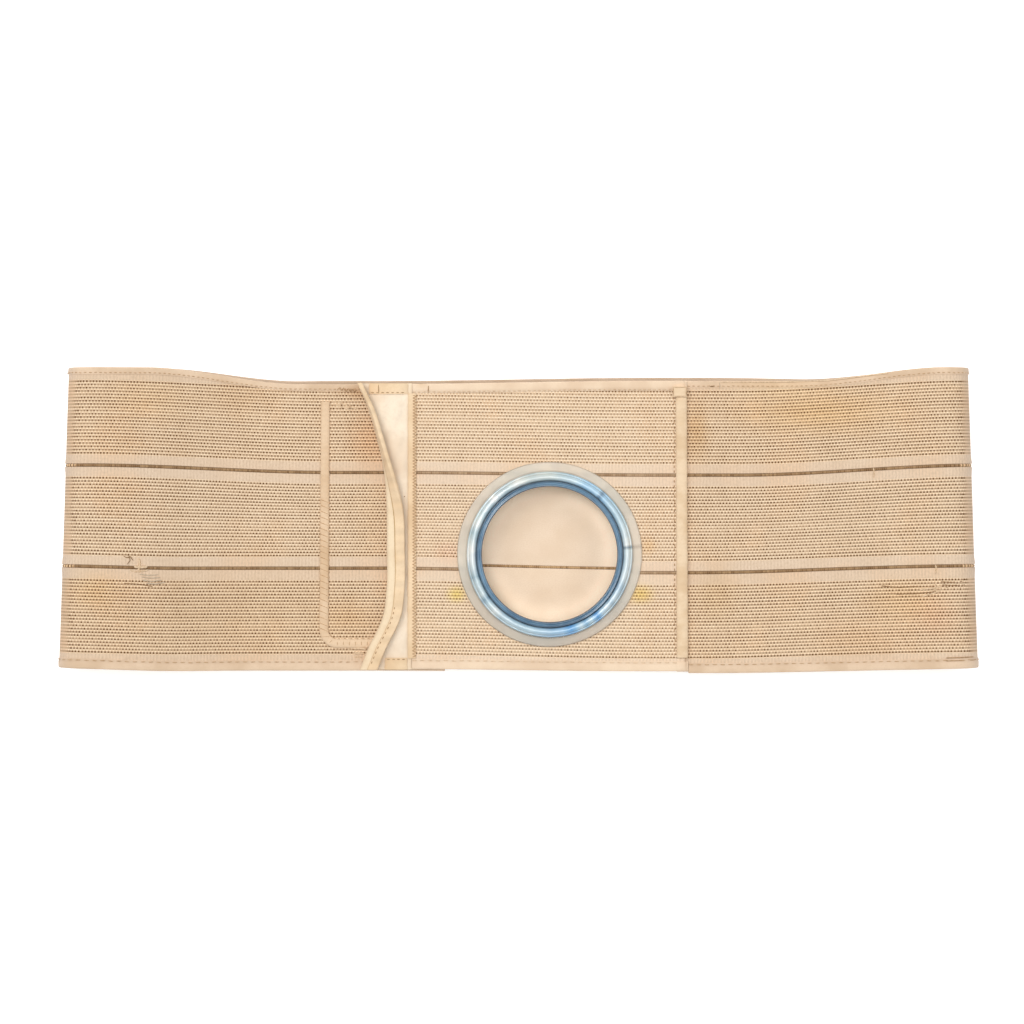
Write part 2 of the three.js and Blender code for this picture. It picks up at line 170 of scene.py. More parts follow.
class Path:
    """Stations along the middle of a layer: x, z, the outward direction, and the length so far, u."""

    def __init__(self, x, z, nx, nz):
        self.x, self.z, self.nx, self.nz = (np.asarray(part, float) for part in (x, z, nx, nz))
        steps = np.hypot(np.diff(self.x), np.diff(self.z))
        self.u = np.concatenate([[0], np.cumsum(steps)])

    def resampled(self, spacing):
        count = max(2, round(self.u[-1] / spacing) + 1)
        u = np.linspace(0, self.u[-1], count)
        x, z, nx, nz = (np.interp(u, self.u, part) for part in (self.x, self.z, self.nx, self.nz))
        size = np.hypot(nx, nz)
        return Path(x, z, nx / size, nz / size)


def place(path, height, out=0.0, waves=True):
    """Points by a layer. The path's stations go down the rows, and heights and distances out across them."""
    x, z, nx, nz = (part[:, None] for part in (path.x, path.z, path.nx, path.nz))
    height = np.atleast_1d(np.asarray(height, float))
    if height.ndim == 1:
        height = height[None, :]
    if waves:
        out = out + undulation(x, height, nx, nz)
    share = x / HALF_WIDTH
    shift = LAYER_SHIFT * (1 - smoothstep(np.abs(share), *SHIFT_EASE)) * (1 - nz) / 2
    points = [x - taper(height, share) + nx * out, y_at(height, share) + shift, z + nz * out]
    return np.stack(np.broadcast_arrays(*points), -1)


DENSE = 600


def front_run(side, end_x, end_z):
    """The front layer from the crest of the fold on one side, -1 or 1, to end_x, where it lies at end_z."""
    along = np.linspace(FOLD_X, side * end_x, DENSE)
    run = np.minimum(1, (FOLD_X - along) / LAY_RUN)
    fall = CREST_LEVEL - end_z
    slope = 6 * fall * run * (1 - run) / LAY_RUN
    length = np.hypot(1, slope)
    z = CREST_LEVEL - fall * run * run * (3 - 2 * run)
    return np.array([side * along, z, -side * slope / length, 1 / length])


def fold_run(side):
    angle = np.linspace(0, math.pi, DENSE)
    nx, nz = side * np.sin(angle), np.cos(angle)
    return np.array([side * FOLD_X + FOLD_RADIUS * nx, BACK_LEVEL + FOLD_RADIUS * (1 + nz), nx, nz])


def back_run():
    x = np.linspace(FOLD_X, -FOLD_X, DENSE)
    return np.array([x, np.full(DENSE, BACK_LEVEL), np.zeros(DENSE), np.full(DENSE, -1.0)])


def wrap_path(start, spacing):
    """The whole wrap, from a start on the right, round the back, to its end under the panel on the left."""
    parts = [
        front_run(1, start, LAP_LEVEL)[:, ::-1],
        fold_run(1)[:, 1:],
        back_run()[:, 1:],
        fold_run(-1)[:, ::-1][:, 1:],
        front_run(-1, WRAP_END, UNDER_LEVEL)[:, 1:],
    ]
    return Path(*np.concatenate(parts, 1)).resampled(spacing)


def level_path(start, end, z, spacing):
    """A straight path at one level, with the outward way up."""
    count = max(2, round(abs(end - start) / spacing) + 1)
    x = np.linspace(start, end, count)
    return Path(x, np.full(count, float(z)), np.zeros(count), np.ones(count))


# Meshes


def make_object(name, points, faces, material, slot, attributes=None, sharp=50):
    """A closed mesh from points in millimetres, with its faces turned outwards, riding on the belt."""
    points = np.asarray(points, float).reshape(-1, 3)
    groups = faces if isinstance(faces, list) else [faces]
    quads = np.concatenate([group for group in groups if isinstance(group, np.ndarray)])
    a, b, c, d = (points[quads[:, i]] for i in range(4))
    volume = (a * (np.cross(b, c) + np.cross(c, d))).sum()
    loose = [face for group in groups if not isinstance(group, np.ndarray) for face in group]
    loops = quads.tolist() + [list(face) for face in loose]
    if volume < 0:
        loops = [face[::-1] for face in loops]
    used, packed = np.unique(np.concatenate([np.array(face) for face in loops]), return_inverse=True)
    ends = np.cumsum([len(face) for face in loops])
    loops = [part.tolist() for part in np.split(packed, ends[:-1])]
    mesh = bpy.data.meshes.new(name)
    mesh.from_pydata((points[used] * MM).tolist(), [], loops)
    mesh.polygons.foreach_set("use_smooth", np.ones(len(loops), bool))
    mesh.set_sharp_from_angle(angle=math.radians(sharp))
    plain = {"tint": np.ones(points.shape)}
    for key, values in {**plain, **(attributes or {})}.items():
        attribute = mesh.attributes.new(key, "FLOAT_VECTOR", "POINT")
        attribute.data.foreach_set("vector", np.asarray(values, np.float32).reshape(-1, 3)[used].ravel())
    mesh.materials.append(material)
    thing = bpy.data.objects.new(name, mesh)
    bpy.context.scene.collection.objects.link(thing)
    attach(thing, "root")
    return thing


def grid_quads(rows, columns, start=0):
    corner = np.arange(rows - 1)[:, None] * columns + np.arange(columns - 1)[None] + start
    return np.stack([corner, corner + columns, corner + columns + 1, corner + 1], -1).reshape(-1, 4)


def shell_with_plain_inside(outer, inner):
    """Faces of a sheet whose inner side has fewer points across: both sides, both long edges, both ends."""
    rows, across = outer.shape[:2]
    inside = inner.shape[1]
    start = rows * across
    along = np.arange(rows - 1)
    edges = []
    for out_column, in_column, turn in ((0, 0, 1), (across - 1, inside - 1, -1)):
        outside = along * across + out_column
        within = start + along * inside + in_column
        edge = np.stack([outside, within, within + inside, outside + across], -1)
        edges.append(edge[:, ::turn])
    faces = [grid_quads(rows, across), grid_quads(rows, inside, start)[:, ::-1], *edges]
    first = [*range(across), *(start + i for i in reversed(range(inside)))]
    last_outer, last_inner = (rows - 1) * across, start + (rows - 1) * inside
    last = [*(last_outer + i for i in reversed(range(across))), *(last_inner + i for i in range(inside))]
    points = np.concatenate([outer.reshape(-1, 3), inner.reshape(-1, 3)])
    return points, [np.concatenate(faces), [first, last]]


def sheet_shell(outer, inner, keep=None):
    """Faces of a sheet whose two sides have the same grid, less the cells that keep leaves out."""
    rows, across = outer.shape[:2]
    start = rows * across
    keep = np.ones((rows - 1, across - 1), bool) if keep is None else keep
    index = np.arange(start).reshape(rows, across)
    cells = np.stack([index[:-1, :-1], index[1:, :-1], index[1:, 1:], index[:-1, 1:]], -1)
    top = cells[keep]
    padded = np.pad(keep, 1)
    here = padded[1:-1, 1:-1]
    sides = [
        (padded[1:-1, :-2], 0, 1),
        (padded[2:, 1:-1], 1, 2),
        (padded[1:-1, 2:], 2, 3),
        (padded[:-2, 1:-1], 3, 0),
    ]
    walls = []
    for neighbour, a, b in sides:
        edge = cells[here & ~neighbour]
        walls.append(np.stack([edge[:, b], edge[:, a], edge[:, a] + start, edge[:, b] + start], -1))
    faces = np.concatenate([top, (top + start)[:, ::-1], *walls])
    return np.concatenate([outer.reshape(-1, 3), inner.reshape(-1, 3)]), faces


def swept(points, capped=True):
    """Faces of a closed section carried through stations: points is stations by section by 3."""
    stations, sides = points.shape[:2]
    i = np.arange(sides)
    j = (i + 1) % sides
    base = np.arange(stations - 1)[:, None] * sides
    quads = np.stack([base + i, base + j, base + sides + j, base + sides + i], -1).reshape(-1, 4)
    last = (stations - 1) * sides
    if capped:
        return points.reshape(-1, 3), [quads, [i[::-1].tolist(), (last + i).tolist()]]
    return points.reshape(-1, 3), np.concatenate([quads, np.stack([last + i, last + j, j, i], -1)])


# A stitch's rings: how far along it each lies, its share of the radius, and its share of the lift
THREAD_SIDES = 6
THREAD_RINGS = [(0.0, 0.35, -0.6), (0.22, 0.95, 0.55), (0.5, 1.0, 0.9), (0.78, 0.95, 0.55), (1.0, 0.35, -0.6)]


def thread_parts(starts, ends, outward, radius, lift):
    """Short stitches from starts to ends, each arching out of the cloth, as points and quads."""
    starts, ends, outward = (np.asarray(part, float).reshape(-1, 3) for part in (starts, ends, outward))
    along = ends - starts
    direction = along / np.linalg.norm(along, axis=1, keepdims=True)
    across = np.cross(outward, direction)
    across /= np.linalg.norm(across, axis=1, keepdims=True)
    outward = np.cross(direction, across)
    angles = np.linspace(0, 2 * math.pi, THREAD_SIDES, endpoint=False)
    rings = []
    for at, share, rise in THREAD_RINGS:
        centre = starts + along * at + outward * rise * lift
        ring = [centre + share * radius * (across * math.cos(a) + outward * math.sin(a)) for a in angles]
        rings.append(np.stack(ring, 1))
    points = np.stack(rings, 1)
    count, levels, sides = points.shape[:3]
    base = (np.arange(count) * levels * sides)[:, None, None] + (np.arange(levels - 1) * sides)[None, :, None]
    i = np.arange(sides)[None, None]
    j = (i + 1) % sides
    quads = np.stack(np.broadcast_arrays(base + i, base + j, base + sides + j, base + sides + i), -1)
    first = (np.arange(count) * levels * sides)[:, None] + np.arange(sides)[None]
    last = first + (levels - 1) * sides
    return points.reshape(-1, 3), quads.reshape(-1, 4), [*first[:, ::-1].tolist(), *last.tolist()]


def make_threads(name, parts, material):
    """Joins several rows of stitches into one piece."""
    points, quads, caps, offset = [], [], [], 0
    for part_points, part_quads, part_caps in parts:
        points.append(part_points)
        quads.append(part_quads + offset)
        caps.extend([[i + offset for i in cap] for cap in part_caps])
        offset += len(part_points)
    return make_object(name, np.concatenate(points), [np.concatenate(quads), caps], material, "seam_thread")


def stitch_line(path, height, out, pitch, length, radius=0.2, lift=0.22, waves=True, wander=0.08):
    """Running stitches along a path at one height on the belt."""
    fine = path.resampled(pitch / 2)
    starts = np.arange(0, len(fine.u) - 1, 2)
    share = length / (pitch / 2)
    heights = height + RANDOM.normal(0, wander, len(fine.u))
    middle = place(fine, heights[:, None], out, waves)[:, 0]
    first, second = middle[starts], middle[starts + 1]
    ends = first + (second - first) * share
    normals = np.stack([fine.nx, np.zeros(len(fine.u)), fine.nz], -1)[starts]
    return thread_parts(first, ends, normals, radius, lift)


# Shader arithmetic


class Wire:
    """A number in a node tree. Arithmetic on it adds Math nodes."""

    def __init__(self, tree, socket):
        self.tree, self.socket = tree, socket

    def node(self, kind, *inputs, output=0, **settings):
        node = self.tree.nodes.new(kind)
        for key, value in settings.items():
            setattr(node, key, value)
        for slot, value in zip(node.inputs, inputs):
            if isinstance(value, Wire):
                self.tree.links.new(value.socket, slot)
            elif value is not None:
                slot.default_value = value
        return Wire(self.tree, node.outputs[output])

    def math(self, operation, *others):
        return self.node("ShaderNodeMath", self, *others, operation=operation)

    def __add__(self, other):
        return self.math("ADD", other)

    def __sub__(self, other):
        return self.math("SUBTRACT", other)

    def __mul__(self, other):
        return self.math("MULTIPLY", other)

    def __truediv__(self, other):
        return self.math("DIVIDE", other)

    def __rsub__(self, other):
        return self * -1 + other

    __radd__ = __add__
    __rmul__ = __mul__

    def step(self, low, high, first=0.0, last=1.0):
        """Goes smoothly from first to last as this number goes from low to high."""
        return self.node("ShaderNodeMapRange", self, low, high, first, last, interpolation_type="SMOOTHSTEP")

    def vector(self, y, z=0.0):
        return self.node("ShaderNodeCombineXYZ", self, y, z)

    def noise(self, scale, detail=2.0, roughness=0.5):
        node = self.node("ShaderNodeTexNoise", noise_dimensions="3D")
        node_inputs = node.socket.node.inputs
        self.tree.links.new(self.socket, node_inputs["Vector"])
        for key, value in (("Scale", scale), ("Detail", detail), ("Roughness", roughness)):
            node_inputs[key].default_value = value
        return node


def linear(red, green, blue):
    """A colour as a screen shows it, from 0 to 255, as the renderer wants it."""
    parts = [part / 255 for part in (red, green, blue)]
    return (*((p / 12.92 if p <= 0.04045 else ((p + 0.055) / 1.055) ** 2.4) for p in parts), 1.0)


class Finish:
    """A material whose colour and relief are worked out from the mesh's own coordinates."""

    def __init__(self, name, roughness, sheen=0.0):
        self.material = bpy.data.materials.new(name)
        self.material.use_nodes = True
        self.tree = self.material.node_tree
        self.shader = self.tree.nodes["Principled BSDF"]
        self.shader.inputs["Roughness"].default_value = roughness
        self.shader.inputs["Specular IOR Level"].default_value = 0.25
        self.shader.inputs["Sheen Weight"].default_value = sheen
        self.shader.inputs["Sheen Roughness"].default_value = 0.5
        self.start = Wire(self.tree, None)

    def attribute(self, name):
        """A vector stored on the mesh, whole and as its three numbers."""
        node = self.tree.nodes.new("ShaderNodeAttribute")
        node.attribute_name = name
        node.attribute_type = "GEOMETRY"
        whole = Wire(self.tree, node.outputs["Vector"])
        split = self.tree.nodes.new("ShaderNodeSeparateXYZ")
        self.tree.links.new(whole.socket, split.inputs[0])
        return whole, *(Wire(self.tree, output) for output in split.outputs)

    def place(self):
        """The point's place in the object, in millimetres."""
        node = self.tree.nodes.new("ShaderNodeTexCoord")
        whole = Wire(self.tree, node.outputs["Object"])
        return whole.node("ShaderNodeVectorMath", whole, (1 / MM,) * 3, operation="MULTIPLY")

    def mix(self, factor, first, second, blend="MIX"):
        node = self.tree.nodes.new("ShaderNodeMix")
        node.data_type = "RGBA"
        node.blend_type = blend
        colour_a, colour_b = [socket for socket in node.inputs if socket.type == "RGBA"][:2]
        for socket, value in ((node.inputs["Factor"], factor), (colour_a, first), (colour_b, second)):
            if isinstance(value, Wire):
                self.tree.links.new(value.socket, socket)
            else:
                socket.default_value = value
        return Wire(self.tree, [socket for socket in node.outputs if socket.type == "RGBA"][0])

    def colour(self, wire):
        """Sets the colour, times the mesh's own tint."""
        tint, *_ = self.attribute("tint")
        tinted = self.mix(1.0, wire, tint, "MULTIPLY")
        self.tree.links.new(tinted.socket, self.shader.inputs["Base Color"])

    def relief(self, height, depth, strength=1.0):
        node = self.tree.nodes.new("ShaderNodeBump")
        node.inputs["Distance"].default_value = depth * MM
        node.inputs["Strength"].default_value = strength
        self.tree.links.new(height.socket, node.inputs["Height"])
        self.tree.links.new(node.outputs["Normal"], self.shader.inputs["Normal"])


def webbing(name, ground, shade, opening, gleam, rows, dot=1.0):
    """Elastic web: dark grooves along it with small openings, staggered from row to row, and painted highlights on its
    yarn.

    The attribute weave holds the cell along the belt, the row across it, and how open the weave is: 1 in the
    open, less at a fold, 0 where the web is plain, and below 0 on its smooth inside.
    """
    finish = Finish(name, 0.85, sheen=0.05)
    whole, along, across, openness = finish.attribute("weave")
    row = across.math("FLOOR")
    staggered = along + row.math("MODULO", 2.0) * 0.5
    column = staggered.math("FLOOR")
    chance = column.node("ShaderNodeTexWhiteNoise", column.vector(row), noise_dimensions="2D")
    from_left = staggered - column - 0.5 + (chance - 0.5) * 0.16
    from_below = across - row - 0.5
    row_chance = row.node("ShaderNodeTexWhiteNoise", row.vector(3.0), noise_dimensions="2D")
    slow = whole.noise(0.11, 3.0)
    sparkle = column.node("ShaderNodeTexWhiteNoise", column.vector(row + 0.5), noise_dimensions="2D")
    warm = whole.noise(0.045, 2.0)
    streak = (along * 0.12).vector(across).noise(0.9, 2.0)
    fine = along.vector(across * 2.0).noise(1.9, 3.0)

    inside = across.step(-0.05, 0.05) * across.step(rows - 0.05, rows + 0.05, 1.0, 0.0)
    edge_row = across.step(1.05, 0.95) + across.step(rows - 1.05, rows - 0.95)
    width = 0.27 + (1 - openness) * 0.45
    round_dot = (from_left / width).math("POWER", 2.0) + (from_below / 0.28).math("POWER", 2.0)
    openings = round_dot.step(0.35, 1.5, 1.0, 0.0) * inside * openness.step(0.02, 0.6)
    groove = from_below.math("ABSOLUTE").step(0.1, 0.36, 1.0, 0.0) * inside
    strength = 0.64 + (chance - 0.5) * 0.8 + (slow - 0.5) * 0.5 + (row_chance - 0.5) * 0.25 + edge_row * 0.2
    depth = openings * strength * dot
    # Painted highlights: bright spots beside each opening, a bright band between the rows and bright crowns on the
    # yarn
    beside = (from_left.math("ABSOLUTE") - 0.5) / 0.26
    spot = beside.math("POWER", 2.0) + (from_below / 0.36).math("POWER", 2.0)
    band = from_below.math("ABSOLUTE").step(0.3, 0.5) * inside * openness.step(0.1, 0.6)
    yarn = spot.step(0.2, 1.5, 1.0, 0.0) * inside * openness.step(0.3, 0.9)
    above = from_below.step(-0.05, 0.05)
    from_crown = from_left.math("ABSOLUTE") * above + (0.5 - from_left.math("ABSOLUTE")) * (1 - above)
    to_border = (from_below.math("ABSOLUTE") - 0.5) / 0.24
    crown = (from_crown / 0.26).math("POWER", 2.0) + to_border.math("POWER", 2.0)
    crown = crown.step(0.1, 1.5, 1.0, 0.0) * inside * openness.step(0.1, 0.6)
    plain = openness.step(-0.6, -0.1) * (1 - inside)
    ribs = ((along * (1.9 * math.pi)).math("SINE") * 0.5 + 0.5) * plain
    worn = (along * 1.3).vector(across * 0.5).noise(1.7, 3.0).step(0.42, 0.68) * plain

    cloth = finish.mix(slow.step(0.3, 0.7) * 0.55, ground, shade)
    cloth = finish.mix(warm.step(0.45, 0.7) * openness.step(-0.9, -0.3) * 0.5, cloth, linear(236, 196, 156))
    cloth = finish.mix(inside, cloth, (0.97, 0.9, 0.79, 1), "MULTIPLY")
    cloth = finish.mix(streak.step(0.5, 0.75) * inside * 0.4, cloth, gleam)
    cloth = finish.mix(fine.step(0.4, 0.65) * 0.45, cloth, shade)
    cloth = finish.mix(ribs * 0.4 + worn * 0.5, cloth, [channel * 0.86 for channel in shade[:3]] + [1])
    groove = groove * (openness * 0.5 + 0.5) * (0.5 + (row_chance - 0.5) * 0.16 + (streak - 0.5) * 0.5)
    cloth = finish.mix(groove * dot, cloth, opening)
    # The painted highlights, mixed in with the gleam colour
    cloth = finish.mix(yarn * (0.12 + chance * 0.25), cloth, gleam)
    cloth = finish.mix(band * 0.1, cloth, gleam)
    cloth = finish.mix(crown * (0.4 + sparkle * 0.6), cloth, gleam)
    cloth = finish.mix(depth.math("MAXIMUM", 0.0).math("MINIMUM", 1.0), cloth, opening)
    finish.colour(cloth)
    finish.relief(yarn * 0.5 - depth - groove * 0.4 + fine * 0.3 + ribs * 0.12, 0.35, 0.55)
    return finish.material


RIB_PITCH = 0.85


def plain_cloth(name, ground, shade, grain, knit=1.1, sheen=0.1, mottle=0.05):
    """Tape, binding and brushed cloth: a fine knit with slow mottling and worn, darker patches."""
    finish = Finish(name, 0.85, sheen)
    spot = finish.place()
    slow = spot.noise(mottle, 3.0, 0.6)
    fine = spot.noise(knit, 3.0, 0.7)
    split = finish.tree.nodes.new("ShaderNodeSeparateXYZ")
    finish.tree.links.new(spot.socket, split.inputs[0])
    x, y, _ = (Wire(finish.tree, output) for output in split.outputs)
    turn = 2 * math.pi / RIB_PITCH
    rib = (x * turn).math("SINE") * (y * turn).math("SINE")
    cloth = finish.mix(slow.step(0.38, 0.68), ground, shade)
    cloth = finish.mix(fine.step(0.42, 0.7) * grain, cloth, shade)
    finish.colour(cloth)
    finish.relief(fine + rib * 0.15, 0.25, 0.45)
    return finish.material


def thread_finish(name, colour, dark):
    """Sewing thread, darker here and there."""
    finish = Finish(name, 0.7, 0.05)
    spot = finish.place()
    finish.colour(finish.mix(spot.noise(0.9, 2.0).step(0.35, 0.7), colour, dark))
    finish.relief(spot.noise(4.0, 1.0), 0.08, 0.4)
    return finish.material


def seam_finish(name, colour, dark, pale):
    """Joining thread: short stitches side by side, some darker and some worn pale."""
    finish = Finish(name, 0.75, 0.05)
    whole, along, side, _ = finish.attribute("weave")
    column = along.math("FLOOR")
    chance = column.node("ShaderNodeTexWhiteNoise", column.vector(1.0), noise_dimensions="2D")
    slow = whole.noise(0.09, 2.0)
    between = (along - column - 0.5).math("ABSOLUTE").step(0.3, 0.5)
    body = finish.mix(chance, colour, dark)
    body = finish.mix(slow.step(0.45, 0.7) * 0.6, body, dark)
    body = finish.mix(between * 0.35, body, pale)
    finish.colour(finish.mix(side.step(0.2, 0.95, 0.0, 0.45), body, pale))
    finish.relief(between * -1 + chance * 0.4, 0.15, 0.6)
    return finish.material


def plastic(name, ground, shade, alpha, roughness, coat=0.5):
    """Moulded soft plastic, which shows what is under it where alpha is less than 1."""
    finish = Finish(name, roughness)
    shader = finish.shader.inputs
    shader["Alpha"].default_value = alpha
    shader["IOR"].default_value = 1.45
    shader["Specular IOR Level"].default_value = 0.5
    shader["Coat Weight"].default_value = coat
    shader["Coat Roughness"].default_value = 0.08
    spot = finish.place()
    cloudy = spot.noise(0.09, 3.0, 0.6)
    finish.colour(finish.mix(cloudy.step(0.35, 0.65), ground, shade))
    finish.relief(spot.noise(0.35, 3.0), 0.35, 0.25)
    return finish.material


# The webs' ground, its shade, the openings in it and the colour of the painted highlights on its yarn. The panel's
# openings show less.
PANEL_DOT = 0.8
wrap_tones = [linear(228, 204, 178), linear(215, 188, 159), linear(108, 70, 32), linear(253, 230, 198)]
wrap_middle_tones = [linear(228, 205, 180), linear(216, 190, 162), linear(108, 71, 34), linear(253, 231, 200)]
panel_tones = [linear(236, 213, 187), linear(226, 201, 174), linear(122, 86, 52), linear(254, 234, 206)]
panel_middle_tones = [linear(235, 212, 187), linear(226, 201, 175), *panel_tones[2:]]
web_finish = webbing("elastic_web", *wrap_tones, EDGE_ROWS)
middle_web_finish = webbing("elastic_web_middle", *wrap_middle_tones, MIDDLE_ROWS)
panel_web_finish = webbing("panel_web", *panel_tones, EDGE_ROWS, PANEL_DOT)
panel_middle_finish = webbing("panel_web_middle", *panel_middle_tones, MIDDLE_ROWS, PANEL_DOT)
binding_finish = plain_cloth("edge_binding", linear(226, 200, 172), linear(212, 184, 154), 0.35)
panel_binding_finish = plain_cloth("panel_binding", linear(238, 214, 186), linear(226, 199, 170), 0.3)
tape_finish = plain_cloth("binding_tape", linear(238, 212, 177), linear(222, 192, 154), 0.4)
seam_tape_finish = plain_cloth("seam_tape", linear(234, 209, 177), linear(220, 191, 155), 0.35, mottle=0.09)
facing_finish = plain_cloth("tab_facing", linear(244, 229, 207), linear(231, 211, 186), 0.35, 0.6, 0.2)
patch_finish = plain_cloth("patch_tape", linear(228, 200, 168), linear(212, 180, 144), 0.4)
hook_finish = plain_cloth("hook_strip", linear(226, 204, 176), linear(210, 184, 152), 0.5)
wrap_seam_finish = seam_finish("seam_brown", linear(168, 136, 98), linear(120, 88, 54), linear(204, 174, 138))
panel_seam_finish = seam_finish("seam_light_brown", linear(182, 154, 122), linear(146, 114, 82), linear(216, 190, 160))
stitch_finish = thread_finish("stitch_thread", linear(200, 168, 132), linear(178, 142, 104))
dark_stitch_finish = thread_finish("dark_stitch", linear(182, 150, 114), linear(158, 122, 88))
snag_finish = thread_finish("pulled_thread", linear(152, 118, 80), linear(120, 88, 56))
grey_stitch_finish = thread_finish("grey_thread", linear(206, 188, 164), linear(186, 164, 138))
pale_stitch_finish = thread_finish("pale_stitch", linear(226, 200, 168), linear(200, 170, 134))
flange_finish = plastic("ring_clear", linear(250, 240, 222), linear(236, 228, 212), 0.45, 0.25, coat=0.4)
bead_finish = plastic("ring_bead_clear", linear(236, 242, 241), linear(210, 223, 228), 0.88, 0.12, coat=1.0)
liner_finish = plastic("ring_blue", linear(84, 118, 142), linear(62, 96, 122), 1.0, 0.3, coat=0.5)


# Stains and wear on the cloth, and one painted shadow beside the tab's lifted edge, charted one by one: the middle,
# how far each reaches along and across, and what it does to red, green and blue
STAINS_AND_A_SHADOW = [
    ((155, 56), (48, 14), (1.0, 0.91, 0.75)),
    # Painted shadow on the elastic beside the tab's lifted edge
    ((-77, 41), (13, 17), (0.99, 0.86, 0.76)),
    ((-190, 62), (26, 12), (1.0, 0.96, 0.89)),
    ((-146, 63), (22, 11), (0.96, 0.93, 0.89)),
    ((-218, -36), (15, 12), (0.97, 0.93, 0.83)),
    ((196, -41), (22, 14), (1.0, 0.93, 0.82)),
    ((215, -50), (13, 14), (1.0, 0.91, 0.87)),
    ((-32, -38), (6, 5), (1.02, 1.0, 0.52)),
    ((63, -38), (8, 6), (1.0, 0.93, 0.52)),
    ((-36, -16), (9, 6), (1.0, 0.93, 0.94)),
    ((67, -13), (5, 5), (1.0, 0.92, 0.78)),
    ((132, 69), (34, 6), (1.04, 1.02, 0.95)),
    ((92, 46), (8, 18), (0.92, 0.83, 0.7)),
    ((-80, 66), (14, 5), (0.86, 0.78, 0.70)),
    ((-88, -50), (18, 12), (1.0, 0.94, 0.86)),
    ((102, -38), (14, 18), (0.97, 0.93, 0.85)),
    ((-76, 2), (10, 26), (0.99, 0.96, 0.92)),
    ((176, -60), (30, 14), (0.99, 0.93, 0.87)),
    ((-50, 71), (4, 3), (0.92, 0.86, 0.78)),
    ((-150, -48), (95, 30), (0.955, 0.93, 0.89)),
]
# Painted shade on the folds, as what it does to red, green and blue
FOLD_SHADE = np.array([0.84, 0.86, 0.92])


def stains_and_fold_shade(points, outward_z, nx):
    """The tint of each point: the stain marks and one painted shadow where the front shows them, and painted shade
    that dulls and darkens the folds.
    """
    tint = np.ones(points.shape)
    in_front = np.broadcast_to(outward_z > 0, points.shape[:-1])
    for (x, y), (across, up), colour in STAINS_AND_A_SHADOW:
        distance = np.hypot((points[..., 0] - x) / across, (points[..., 1] - y) / up)
        share = (1 - smoothstep(distance, 0, 1.25)) * in_front
        tint *= 1 + share[..., None] * (np.array(colour) - 1)
    # Painted shade: the folds darker and greyer where the cloth turns away
    fold_shade_share = np.broadcast_to(np.abs(nx), points.shape[:-1])[..., None] ** 3
    return tint * (1 + fold_shade_share * (FOLD_SHADE - 1))


# Elastic bands

# For each band, the line that its rows are counted from, which way they go, how far from it the first row
# lies, and how many rows there are. The middle band's rows spread to fill it.
BANDS = {
    "bottom": {"anchor": 1, "up": -1, "first": 7.0, "rows": EDGE_ROWS, "low": 0, "high": 1},
    "middle": {"anchor": 2, "up": -1, "first": 6.5, "rows": MIDDLE_ROWS, "low": 1, "high": 2},
    "top": {"anchor": 2, "up": 1, "first": 6.3, "rows": EDGE_ROWS, "low": 2, "high": 3},
}
DIMPLE = 0.26
OPEN_AT_FOLDS = 0.2
EDGE_ROUNDING = 0.45
INSIDE_COLUMNS = 13
RIBS_ACROSS = 2


def band_edges(name):
    """The band's lowest and highest height on the belt."""
    low, high = LEVELS[BANDS[name]["low"]], LEVELS[BANDS[name]["high"]]
    return (low + GROOVE / 2 if name != "bottom" else low), (high - GROOVE / 2 if name != "top" else high)


def weave_rows(name, x, bottom, top):
    """Heights for the band's rows of points at each x, and the row that each lies on."""
    band = BANDS[name]
    share = x / HALF_WIDTH
    span = line_y(LINES[band["high"]], share) - line_y(LINES[band["low"]], share)
    rows = band["rows"]
    pitch = (span - 2 * band["first"]) / (rows - 1) if name == "middle" else np.full_like(span, PITCH_ACROSS)
    count = RIBS_ACROSS * rows + 1
    row = np.arange(count) / RIBS_ACROSS
    distance = band["first"] + (row[None] - 0.5) * pitch[:, None]
    whole = LEVELS[band["high"]] - LEVELS[band["low"]]
    heights = LEVELS[band["anchor"]] + band["up"] * distance * whole / span[:, None]
    if band["up"] < 0:
        heights, row = heights[:, ::-1], row[::-1]
    first, last = heights[:, :1], heights[:, -1:]
    before = first + (bottom - first) * np.array([1.0, 0.97, 0.55])[None]
    after = last + (top - last) * np.array([0.45, 0.97, 1.0])[None]
    outside = [np.array([-4.0, -3.8, -2.0]), np.array([-2.0, -3.8, -4.0])]
    beyond = [np.array([rows + 4.0, rows + 3.8, rows + 2.0]), np.array([rows + 2.0, rows + 3.8, rows + 4.0])]
    if band["up"] > 0:
        labels = np.concatenate([outside[0], row, beyond[1]])
    else:
        labels = np.concatenate([beyond[0], row, outside[1]])
    heights = np.clip(np.concatenate([before, heights, after], 1), bottom, top)
    return heights, np.broadcast_to(labels[None], heights.shape)


def dimples(along, row, rows):
    """Relief of the weave: a dimple at each opening, staggered from row to row, and raised yarn between."""
    line = np.floor(row)
    column = along + np.mod(line, 2) * 0.5
    phase = np.cos(2 * math.pi * (column - 0.5))
    level_with_row = 1 - smoothstep(np.abs(row - line - 0.5), 0.1, 0.45)
    inside = (row > 0) & (row < rows)
    return np.where(inside, level_with_row * (-0.7 * np.clip(phase, 0, 1) + 0.3 * np.clip(-phase, 0, 1)), 0)


